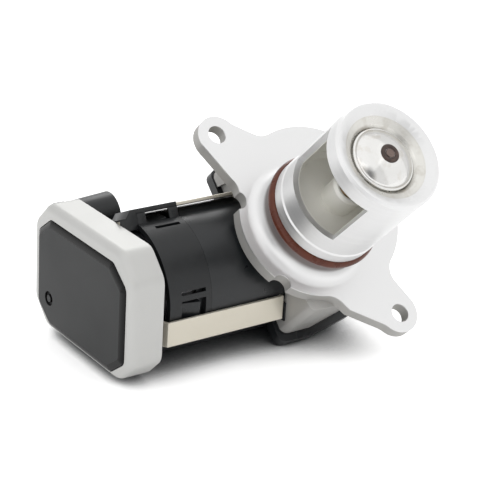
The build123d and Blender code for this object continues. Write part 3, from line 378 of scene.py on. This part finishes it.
cast_dark, cast_light, cage_painted_light = (0.38, 0.375, 0.36), (0.52, 0.51, 0.49), (0.89, 0.88, 0.83)
machined_dark, machined_light = (0.70, 0.70, 0.70), (0.76, 0.76, 0.76)
edge_bright = (0.80, 0.80, 0.79)
casting_rough_tone = blend_colour(casting_tree, casting_skin.outputs["Cloud"],
                                  cast_dark, cast_light)
casting_bright_tone = blend_colour(casting_tree, casting_rings.outputs["Broad"],
                                   machined_dark, machined_light)
# The cage's inside is painted much paler than the cast skin outside, a painted fill light in its
# shade
casting_skinned = blend_colour(casting_tree, casting_inside.outputs[0],
                               casting_rough_tone, cage_painted_light)
casting_tone = blend_colour(casting_tree, casting_machined, casting_skinned, casting_bright_tone)
# The neck's last turns under the O-ring are painted dark brown: painted shade and painted
# reflection of the O-ring
ring_shade_start, ring_shade_full = 0.0034, 0.0062
ring_shade_end, ring_shade_last = 0.0086, 0.0084
ring_shade_strength, ring_shade_brown = 0.8, (0.075, 0.045, 0.040)
casting_ring_shade_low = wire(casting_tree, "ShaderNodeMapRange", {"interpolation_type": "SMOOTHSTEP"},
                        {"From Min": ring_shade_start, "From Max": ring_shade_full},
                        {"Value": casting_place.outputs["Along"]})
casting_ring_shade_high = wire(casting_tree, "ShaderNodeMapRange", None,
                         {"From Min": ring_shade_end, "From Max": ring_shade_last},
                         {"Value": casting_place.outputs["Along"]})
casting_ring_shade = wire(casting_tree, "ShaderNodeMath", {"operation": "MULTIPLY"}, None,
                    {0: casting_ring_shade_low.outputs["Result"], 1: casting_ring_shade_high.outputs["Result"]})
casting_ring_shade_part = wire(casting_tree, "ShaderNodeMath", {"operation": "MULTIPLY"},
                         {1: ring_shade_strength}, {0: casting_ring_shade.outputs[0]})
casting_tone = blend_colour(casting_tree, casting_ring_shade_part.outputs[0], casting_tone, ring_shade_brown)
casting_edges = group_node(casting_tree, wear, {"Amount": 0.5})
casting_colour = blend_colour(casting_tree, casting_edges.outputs["Edge"],
                              casting_tone, edge_bright)
casting_dull = wire(casting_tree, "ShaderNodeMapRange", None,
                    {"From Min": noise_low, "From Max": noise_high,
                     "To Min": 0.46, "To Max": 0.60},
                    {"Value": casting_skin.outputs["Cloud"]})
casting_gloss = wire(casting_tree, "ShaderNodeMapRange", None,
                     {"From Min": noise_low, "From Max": noise_high,
                      "To Min": 0.40, "To Max": 0.48},
                     {"Value": casting_rings.outputs["Broad"]})
# A Mix node takes two numbers at its sockets 2 and 3
first_number, second_number = 2, 3
casting_rough = wire(casting_tree, "ShaderNodeMix", {"data_type": "FLOAT"}, None,
                     {"Factor": casting_machined, first_number: casting_dull.outputs["Result"],
                      second_number: casting_gloss.outputs["Result"]})
casting_metallic = wire(casting_tree, "ShaderNodeMapRange", None, {"To Min": 0.30, "To Max": 0.88},
                        {"Value": casting_machined})
casting_height = wire(casting_tree, "ShaderNodeMix", {"data_type": "FLOAT"}, None,
                      {"Factor": casting_machined, first_number: casting_skin.outputs["Grain"],
                       second_number: casting_rings.outputs["Fine"]})
casting_depth = wire(casting_tree, "ShaderNodeMapRange", None, {"To Min": 0.5, "To Max": 0.03},
                     {"Value": casting_machined})
casting_raised = wire(casting_tree, "ShaderNodeBump", None, {"Distance": 0.00006},
                      {"Height": casting_height.outputs[0],
                       "Strength": casting_depth.outputs["Result"]})
casting_tree.links.new(casting_colour, casting_shader.inputs["Base Color"])
casting_tree.links.new(casting_rough.outputs[0], casting_shader.inputs["Roughness"])
casting_tree.links.new(casting_metallic.outputs["Result"], casting_shader.inputs["Metallic"])
casting_tree.links.new(casting_raised.outputs["Normal"], casting_shader.inputs["Normal"])

casting = eased_copy("casting", "valve_body", ease=0.0004)
casting.data.materials.append(casting_metal)
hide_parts("valve_body")
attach(casting, "root")
nodes["valve_body"].data.materials.clear()
nodes["valve_body"].data.materials.append(casting_metal)


# Seat ring: a hard steel ring shrunk into the end of the cage and cut at 45 degrees in place, with
# the cutter's rings still on it and darker brown patches spread at random.
def turned_metal(name, dark, light, metallic, rough, turns, depth, bloom=None):
    """Metal turned or ground round the valve axis, with its rings, a drift of gloss, and bloom."""
    ring_height, scuff_strength = 0.00003, 0.12
    made = bpy.data.materials.new(name)
    made.use_nodes = True
    tree = made.node_tree
    shader = tree.nodes["Principled BSDF"]
    where = group_node(tree, valve_place)
    across = wire(tree, "ShaderNodeMath", {"operation": "ADD"}, None,
                  {0: where.outputs["Radius"], 1: where.outputs["Along"]})
    rings = group_node(tree, lathe, {"Turns per metre": turns}, {"Place": across.outputs[0]})
    skin_here = group_node(tree, skin, {"Grain Size": 3000.0, "Cloud Size": 220.0})
    colour = blend_colour(tree, rings.outputs["Broad"], dark, light)
    if bloom:
        patch = wire(tree, "ShaderNodeMapRange", None,
                     {"From Min": 0.5, "From Max": 0.75, "To Max": 0.45},
                     {"Value": skin_here.outputs["Cloud"]})
        colour = blend_colour(tree, patch.outputs["Result"], colour, bloom)
    marks = group_node(tree, scuffs, {"Stretch": (120.0, 1500.0, 1500.0)})
    base = wire(tree, "ShaderNodeMapRange", None,
                {"From Min": noise_low, "From Max": noise_high,
                 "To Min": rough[0], "To Max": rough[1]},
                {"Value": skin_here.outputs["Cloud"]})
    gloss = wire(tree, "ShaderNodeMath", {"operation": "MULTIPLY_ADD"}, {1: scuff_strength},
                 {0: marks.outputs["Scuff"], 2: base.outputs["Result"]})
    raised = wire(tree, "ShaderNodeBump", None, {"Strength": depth, "Distance": ring_height},
                  {"Height": rings.outputs["Fine"]})
    tree.links.new(colour, shader.inputs["Base Color"])
    tree.links.new(gloss.outputs[0], shader.inputs["Roughness"])
    tree.links.new(raised.outputs["Normal"], shader.inputs["Normal"])
    shader.inputs["Metallic"].default_value = metallic
    return made


seat_metal = turned_metal(
    "seat_metal", dark=(0.61, 0.60, 0.565), light=(0.72, 0.71, 0.675), metallic=0.85,
    rough=(0.26, 0.36), turns=6000.0, depth=0.08, bloom=(0.34, 0.30, 0.24))
nodes["valve_seat"].data.materials.clear()
nodes["valve_seat"].data.materials.append(seat_metal)

# Poppet head: a forged steel disc, ground to a dome and polished, with a thin flat land left round
# its edge. It slides out along the valve axis to open.
valve_turn = Matrix.Rotation(radians(45), 4, "X")
# A spun outline's first and last lines meet, and so do its points on the axis
pole_weld = 0.000001


def turned_on_valve(name, profile, steps=128, crease=40):
    """Spin a half outline, given as radius and distance along the valve axis in millimetres."""
    shape = bmesh.new()
    line = [shape.verts.new((radius / 1000, 0, along / 1000)) for radius, along in profile]
    for first, second in zip(line, line[1:]):
        shape.edges.new((first, second))
    bmesh.ops.spin(shape, geom=shape.verts[:] + shape.edges[:], cent=(0, 0, 0), axis=(0, 0, 1),
                   dvec=(0, 0, 0), angle=2 * pi, steps=steps, use_merge=True)
    bmesh.ops.remove_doubles(shape, verts=shape.verts, dist=pole_weld)
    bmesh.ops.recalc_face_normals(shape, faces=shape.faces)
    bmesh.ops.transform(shape, matrix=valve_turn, verts=shape.verts)
    return place_piece(name, shape, crease)


def dome_points(start, land_radius, dome_radius, count):
    """Points on a dome centred on the valve axis, from its start out to the radius of its land."""
    middle = start[1] - sqrt(dome_radius ** 2 - start[0] ** 2)
    points = []
    for step in range(1, count):
        reach = start[0] + (land_radius - start[0]) * step / count
        points.append((reach, middle + sqrt(dome_radius ** 2 - reach ** 2)))
    return points


hole_edge = [(2.55, 48.62), (2.55, 54.62), (2.7, 54.7)]
dome = dome_points(start=(2.7, 54.72), land_radius=10.75, dome_radius=17.1, count=26)
land_and_back = [(10.72, 50.86), (10.80, 50.76), (10.95, 50.72), (11.15, 50.74), (11.32, 50.68),
                 (11.42, 50.55), (11.44, 50.30), (11.40, 50.08), (9.62, 48.72), (9.4, 48.62),
                 (2.55, 48.62)]
head_polish = turned_metal(
    "head_polish", dark=(0.64, 0.635, 0.62), light=(0.72, 0.715, 0.70), metallic=1.0,
    rough=(0.12, 0.18), turns=3500.0, depth=0.02, bloom=(0.50, 0.44, 0.36))
poppet_head = turned_on_valve("poppet_head", hole_edge + dome + land_and_back, crease=38)
poppet_head.data.materials.append(head_polish)
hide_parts("valve_head")
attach(poppet_head, "valve")

# Stem and its riveted end: a steel rod whose end is spun over onto the head with a hollow punch,
# and left with the brown heat colour of that work. The rest of the rod is ground bright.
rivet_profile = [(3.34, 54.42), (3.36, 54.9), (3.22, 55.14), (2.9, 55.28), (2.45, 55.3),
                 (2.1, 55.2), (1.9, 55.0), (1.78, 54.9), (1.6, 54.9), (0, 54.9)]
rivet_brown = turned_metal(
    "rivet_brown", dark=(0.024, 0.017, 0.0145), light=(0.080, 0.056, 0.048), metallic=0.45,
    rough=(0.34, 0.5), turns=9000.0, depth=0.4, bloom=(0.22, 0.14, 0.12))
rivet_end = turned_on_valve("rivet_end", rivet_profile, steps=72, crease=50)
rivet_end.data.materials.append(rivet_brown)
punch_profile = [(1.62, 54.88), (1.56, 55.1), (1.35, 55.26), (1.0, 55.3), (0.7, 55.2),
                 (0.45, 55.08), (0, 55.05)]
punch_pink = turned_metal(
    "punch_pink", dark=(0.14, 0.102, 0.088), light=(0.24, 0.18, 0.16), metallic=0.7,
    rough=(0.34, 0.48), turns=9000.0, depth=0.3)
punch_mark = turned_on_valve("punch_mark", punch_profile, steps=72, crease=50)
punch_mark.data.materials.append(punch_pink)
for spun in (rivet_end, punch_mark):
    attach(spun, "valve")
stem_metal = turned_metal(
    "stem_metal", dark=(0.50, 0.49, 0.48), light=(0.62, 0.61, 0.60), metallic=0.95,
    rough=(0.16, 0.26), turns=8000.0, depth=0.1)
# The stem lies at 45 degrees, so its inner end is one radius above its lowest corner
stem_radius = 3.0
stem_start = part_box("valve_stem")[0].z * sqrt(2) * 1000 + stem_radius
stem_profile = [(0, stem_start), (2.3, stem_start), (2.9, stem_start + 0.6),
                (2.98, stem_start + 1.2), (2.98, 48.4), (2.8, 48.6), (2.44, 48.6), (2.44, 54.9),
                (0, 54.9)]
stem_rod = turned_on_valve("stem_rod", stem_profile, steps=72, crease=30)
stem_rod.data.materials.append(stem_metal)
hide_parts("valve_stem")
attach(stem_rod, "valve")

# Stem guide: a sintered bronze bush, soaked in oil and pressed into the boss of the cage, with the
# stem sliding in its reamed bore.
guide_bronze = turned_metal(
    "guide_bronze", dark=(0.30, 0.21, 0.12), light=(0.44, 0.31, 0.18), metallic=0.85,
    rough=(0.35, 0.5), turns=7000.0, depth=0.2)
nodes["stem_guide"].data.materials.clear()
nodes["stem_guide"].data.materials.append(guide_bronze)

# O-ring: a brown fluorocarbon ring, moulded in one piece, stretched into the neck's groove and a
# little flattened by it.
ring_middle, ring_reach, ring_half_width, ring_half_height = 10.6, 19.5, 1.92, 2.02
ring_shape = bmesh.new()
bmesh.ops.create_circle(ring_shape, cap_ends=False, radius=1.0, segments=32,
                        matrix=Matrix.Rotation(pi / 2, 4, "X"))
bmesh.ops.scale(ring_shape, vec=(ring_half_width / 1000, 1, ring_half_height / 1000),
                verts=ring_shape.verts)
bmesh.ops.translate(ring_shape, vec=(ring_reach / 1000, 0, ring_middle / 1000),
                    verts=ring_shape.verts)
bmesh.ops.spin(ring_shape, geom=ring_shape.verts[:] + ring_shape.edges[:], cent=(0, 0, 0),
               axis=(0, 0, 1), dvec=(0, 0, 0), angle=2 * pi, steps=144, use_merge=True)
bmesh.ops.remove_doubles(ring_shape, verts=ring_shape.verts, dist=pole_weld)
bmesh.ops.recalc_face_normals(ring_shape, faces=ring_shape.faces)
bmesh.ops.transform(ring_shape, matrix=valve_turn, verts=ring_shape.verts)
seal_ring = place_piece("seal_ring", ring_shape, crease=60)
ring_rubber = even_finish(
    "ring_rubber", dark=(0.095, 0.022, 0.010), light=(0.130, 0.031, 0.014), metallic=0.0,
    rough=(0.24, 0.34), grain=2600.0, cloud=180.0, bump=0.06, scuffed=(0.20, 0.07, 0.04),
    sheen=0.30)
seal_ring.data.materials.append(ring_rubber)
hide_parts("neck_o_ring")
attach(seal_ring, "root")

# Drive housing: black glass-filled nylon, with the motor tube, the screwed plate and the gear case
# in one moulding. Its skin is half gloss, with a fine grain.
housing_plastic = even_finish(
    "housing_plastic", dark=(0.012, 0.0135, 0.015), light=(0.018, 0.020, 0.022), metallic=0.0,
    rough=(0.26, 0.38), grain=2600.0, cloud=60.0, bump=0.18, worn=(0.05, 0.052, 0.056), sheen=0.40)
housing = eased_copy("housing", "drive_housing", ease=0.00035)
housing.data.materials.append(housing_plastic)
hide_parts("drive_housing")
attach(housing, "root")

# Gasket: a frame moulded in black silicone, laid between the casting and the housing's plate and
# pressed by their four screws.
gasket_rubber = even_finish(
    "gasket_rubber", dark=(0.018, 0.018, 0.018), light=(0.030, 0.030, 0.030), metallic=0.0,
    rough=(0.5, 0.7), grain=2500.0, cloud=90.0, bump=0.3)
nodes["housing_gasket"].data.materials.clear()
nodes["housing_gasket"].data.materials.append(gasket_rubber)

# Screws: four zinc-plated steel socket screws, cold formed and rolled, that pull the housing's
# plate onto the casting.
screw_zinc = even_finish(
    "screw_zinc", dark=(0.42, 0.42, 0.40), light=(0.58, 0.58, 0.55), metallic=0.9,
    rough=(0.25, 0.4), grain=2600.0, cloud=300.0, bump=0.2, worn=(0.7, 0.7, 0.7))
nodes["housing_screws"].data.materials.clear()
nodes["housing_screws"].data.materials.append(screw_zinc)

# Snap collar: a black ring of the same nylon that joins the connector's side to the housing. Its
# windows take the housing's latches, and its slots free the spring tongues between them.
collar = eased_copy("collar", "snap_collar", ease=0.0003)
collar_plastic = even_finish(
    "collar_plastic", dark=(0.010, 0.011, 0.012), light=(0.015, 0.0165, 0.018), metallic=0.0,
    rough=(0.30, 0.42), grain=2400.0, cloud=80.0, bump=0.2, worn=(0.05, 0.052, 0.055),
    scuffed=(0.05, 0.052, 0.055), sheen=0.36)
collar.data.materials.append(collar_plastic)
# The joint between the collar and the motor tube is a narrow gap; the faces beside it are painted
# near black all the way round, a painted shade for the gap
joint_painted_shade = even_finish(
    "joint_painted_shade", dark=(0.002, 0.002, 0.002), light=(0.004, 0.004, 0.004), metallic=0.0,
    rough=(0.55, 0.7), grain=2400.0, cloud=80.0, bump=0.05, sheen=0.05)
joint_x, joint_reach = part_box("snap_collar")[1].x, 0.0004
for joined in (collar, housing):
    joined.data.materials.append(joint_painted_shade)
    for side in joined.data.polygons:
        if abs(side.center.x - joint_x) < joint_reach:
            side.material_index = 1
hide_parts("snap_collar")
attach(collar, "root")

# Latches: wedge teeth moulded on the motor tube's end, which spring out into the collar's windows
# and hold it. A flat keeper of the collar bridges the strap on the far side.
motor_y, motor_z = 0.021991, -0.020718


def turned_to(shape, angle):
    """Turn a shape made on the motor axis, with Z outwards, to its angle round that axis."""
    outwards = Matrix.Rotation(radians(angle) - pi / 2, 4, "X")
    bmesh.ops.transform(shape, matrix=Matrix.Translation((0, motor_y, motor_z)) @ outwards,
                        verts=shape.verts)


def drawn_along_y(outline, low, high):
    """A solid with the outline given in X and Z, in millimetres, drawn out between two Y values."""
    shape = bmesh.new()
    face = shape.faces.new([shape.verts.new((x / 1000, low / 1000, z / 1000)) for x, z in outline])
    drawn = bmesh.ops.extrude_face_region(shape, geom=[face])
    grown = [item for item in drawn["geom"] if isinstance(item, bmesh.types.BMVert)]
    bmesh.ops.translate(shape, vec=(0, (high - low) / 1000, 0), verts=grown)
    bmesh.ops.recalc_face_normals(shape, faces=shape.faces)
    return shape


tooth_outline = [(-53.6, 22.0), (-53.6, 22.5), (-52.9, 22.9), (-46.6, 24.2), (-46.2, 24.1),
                 (-46.2, 22.0)]
tooth_half_width, window_angles = 3.5, (84.25, 184.0, 284.0)
for number, window_angle in enumerate(window_angles, start=1):
    tooth = drawn_along_y(tooth_outline, -tooth_half_width, tooth_half_width)
    bmesh.ops.bevel(tooth, geom=tooth.edges[:], offset=0.0002, offset_type="OFFSET", segments=2,
                    profile=0.5, affect="EDGES", material=-1, clamp_overlap=True)
    turned_to(tooth, window_angle)
    latch = place_piece(f"latch_{number}", tooth, crease=35)
    latch.data.materials.append(housing_plastic)
    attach(latch, "root")

# The keeper: a thin flat bridge over the strap, on a cheek and two posts beside it
keeper_angle, keeper_side, cheek_side, window_side = 63.5, -12.9, -12.15, -2.2
bridge_outline = [(-65.0, 22.95), (-65.0, 23.4), (-62.7, 23.4), (-60.4, 26.0), (-42.2, 26.0),
                  (-41.9, 25.9), (-41.8, 25.72), (-60.2, 25.72), (-62.5, 22.95)]
cheek_outline = [(-65.0, 19.0), (-65.0, 23.35), (-62.7, 23.35), (-60.4, 25.95), (-41.9, 25.95),
                 (-41.9, 24.2), (-58.2, 24.2), (-58.2, 19.0)]
rear_post = [(-58.6, 20.0), (-58.6, 24.6), (-54.9, 24.6), (-54.9, 20.0)]
front_post = [(-45.6, 20.5), (-45.6, 24.6), (-41.9, 24.6), (-41.9, 20.5)]
bridge = drawn_along_y(bridge_outline, keeper_side, window_side)
for outline in (cheek_outline, rear_post, front_post):
    cheek = drawn_along_y(outline, keeper_side, cheek_side)
    cheek_mesh = bpy.data.meshes.new("cheek")
    cheek.to_mesh(cheek_mesh)
    cheek.free()
    bridge.from_mesh(cheek_mesh)
bmesh.ops.bevel(bridge, geom=bridge.edges[:], offset=0.00015, offset_type="OFFSET", segments=2,
                profile=0.5, affect="EDGES", material=-1, clamp_overlap=True)
turned_to(bridge, keeper_angle)
keeper = place_piece("strap_keeper", bridge, crease=35)
keeper.data.materials.append(collar_plastic)
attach(keeper, "root")

# Connector side: the black closing plate behind the end cap, its hub inside the collar, and the
# round harness socket that stands out beside the cap.
connector = eased_copy("connector", "connector_housing", ease=0.0003)
connector.data.materials.append(collar_plastic)
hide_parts("connector_housing")
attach(connector, "root")

# Connector pins: three round copper pins, tinned and moulded into the plate. Behind the lid are the
# lacquered board that they lead to and the small magnet on the rotor, whose turn the board reads.
pin_tin = even_finish(
    "pin_tin", dark=(0.55, 0.54, 0.50), light=(0.66, 0.65, 0.61), metallic=1.0, rough=(0.18, 0.3),
    grain=3000.0, cloud=400.0, bump=0.1)
board_green = even_finish(
    "board_green", dark=(0.012, 0.085, 0.035), light=(0.02, 0.13, 0.055), metallic=0.0,
    rough=(0.3, 0.45), grain=3500.0, cloud=150.0, bump=0.2)
magnet_black = even_finish(
    "magnet_black", dark=(0.03, 0.03, 0.032), light=(0.055, 0.055, 0.058), metallic=0.2,
    rough=(0.45, 0.6), grain=3000.0, cloud=120.0, bump=0.3)
# Each pin ends a little inside the plate, in the hole that the mould's locating pin leaves there
hole_depth = 0.0011
terminals = bmesh.new()
terminals.from_mesh(nodes["connector_pins"].data)
bmesh.ops.remove_doubles(terminals, verts=terminals.verts, dist=weld)
bmesh.ops.bisect_plane(terminals,
                       geom=terminals.verts[:] + terminals.edges[:] + terminals.faces[:],
                       plane_co=(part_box("connector_pins")[0].x + hole_depth, 0, 0),
                       plane_no=(1, 0, 0), clear_inner=True)
bmesh.ops.holes_fill(terminals, edges=[edge for edge in terminals.edges if edge.is_boundary])
pins = place_piece("pins", terminals)
pins.data.materials.append(pin_tin)
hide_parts("connector_pins")
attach(pins, "root")
for node_name, finish in (("connector_pins", pin_tin), ("circuit_board", board_green),
                          ("sensor_magnet", magnet_black), ("motor_magnets", magnet_black)):
    nodes[node_name].data.materials.clear()
    nodes[node_name].data.materials.append(finish)

# End cap: die-cast aluminium with wide rounded front edges and a fine shot-blasted skin, a little
# warm in tone, dulled by its clear passivation.
cap = eased_copy("cap", "end_cap", ease=0.0003)
cap_metal = even_finish(
    "cap_metal", dark=(0.56, 0.56, 0.545), light=(0.60, 0.60, 0.585), metallic=0.45,
    rough=(0.46, 0.56), grain=1300.0, cloud=45.0, bump=0.22, worn=(0.69, 0.69, 0.68),
    scuffed=(0.69, 0.69, 0.68))
cap.data.materials.append(cap_metal)
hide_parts("end_cap")
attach(cap, "root")

# Lid: a black nylon plate, moulded and then welded into the cap's recess, with a glossy bevelled
# edge and a small plugged vent in its bare face.
lid = eased_copy("lid", "cap_lid", ease=0.00025, sharp_turn=24)
lid_plastic = even_finish(
    "lid_plastic", dark=(0.009, 0.0102, 0.0105), light=(0.0125, 0.0138, 0.0142), metallic=0.0,
    rough=(0.34, 0.44), grain=3200.0, cloud=35.0, bump=0.14, scuffed=(0.045, 0.047, 0.048),
    sheen=0.24)
lid.data.materials.append(lid_plastic)
# The bevel and the vent's walls take a darker copy of the lid's nylon: painted shade on the edge
# and in the vent
lid_edge_painted_shade = even_finish(
    "lid_edge_painted_shade", dark=(0.003, 0.003, 0.003), light=(0.006, 0.006, 0.006), metallic=0.0,
    rough=(0.14, 0.22), grain=3200.0, cloud=60.0, bump=0.05, sheen=0.16)
lid.data.materials.append(lid_edge_painted_shade)
flat_as_lid = 0.95
for side in lid.data.polygons:
    side.material_index = 1 if abs(side.normal.x) < flat_as_lid else 0
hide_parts("cap_lid")
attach(lid, "root")

# Tie straps: three flat steel straps, hooked behind the cap and folded over stops on the motor
# tube. They are nickel-plated, warm in colour and lightly scuffed.
strap_metal = even_finish(
    "strap_metal", dark=(0.655, 0.615, 0.52), light=(0.685, 0.645, 0.55), metallic=0.5,
    rough=(0.36, 0.44), grain=1500.0, cloud=70.0, bump=0.10, worn=(0.74, 0.71, 0.65),
    scuffed=(0.72, 0.68, 0.61))
for number in (1, 2, 3):
    strap = eased_copy(f"strap_{number}", f"tie_strap_{number}", ease=0.0003)
    strap.data.materials.append(strap_metal)
    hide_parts(f"tie_strap_{number}")
    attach(strap, "root")

# Inner works: the rotor, its brushes, the gears, the crank and the spring. They don't show with
# the valve put together, and get the finish that each would have in a cut-open one.
inner_steel = even_finish(
    "inner_steel", dark=(0.34, 0.34, 0.35), light=(0.46, 0.46, 0.47), metallic=0.9,
    rough=(0.28, 0.42), grain=2200.0, cloud=120.0, bump=0.2, worn=(0.6, 0.6, 0.6))
spring_wire = even_finish(
    "spring_wire", dark=(0.22, 0.22, 0.23), light=(0.34, 0.34, 0.35), metallic=0.9,
    rough=(0.3, 0.45), grain=2600.0, cloud=200.0, bump=0.2)
coil_copper = even_finish(
    "coil_copper", dark=(0.42, 0.15, 0.06), light=(0.58, 0.24, 0.11), metallic=0.85,
    rough=(0.3, 0.42), grain=1500.0, cloud=90.0, bump=0.25)
brush_carbon = even_finish(
    "brush_carbon", dark=(0.028, 0.028, 0.028), light=(0.05, 0.05, 0.05), metallic=0.0,
    rough=(0.6, 0.8), grain=3500.0, cloud=90.0, bump=0.3)
bush_bronze = even_finish(
    "bush_bronze", dark=(0.32, 0.21, 0.11), light=(0.46, 0.31, 0.17), metallic=0.85,
    rough=(0.35, 0.5), grain=3500.0, cloud=90.0, bump=0.3)
inner_plastic = even_finish(
    "inner_plastic", dark=(0.02, 0.021, 0.023), light=(0.032, 0.034, 0.037), metallic=0.0,
    rough=(0.4, 0.5), grain=2600.0, cloud=90.0, bump=0.2)
inner_finishes = {
    "machined_steel": inner_steel, "spring_steel": spring_wire, "gear_steel": inner_steel,
    "plated_steel": inner_steel, "core_steel": inner_steel, "bronze": bush_bronze,
    "copper": coil_copper, "carbon": brush_carbon, "black_rubber": gasket_rubber,
    "brown_rubber": ring_rubber,
    "black_plastic": inner_plastic, "lid_plastic": lid_plastic, "strap_steel": strap_metal,
    "cast_aluminium": cap_metal, "ferrite": magnet_black, "green_board": board_green,
}
dressed = ("valve_body", "valve_seat", "stem_guide", "housing_gasket", "housing_screws",
           "connector_pins", "circuit_board", "sensor_magnet", "motor_magnets")
for part in frame["record"]["subparts"]:
    if part["node"] not in dressed:
        shown = nodes[part["node"]]
        shown.data.materials.clear()
        shown.data.materials.append(inner_finishes[part["material_slot"]])
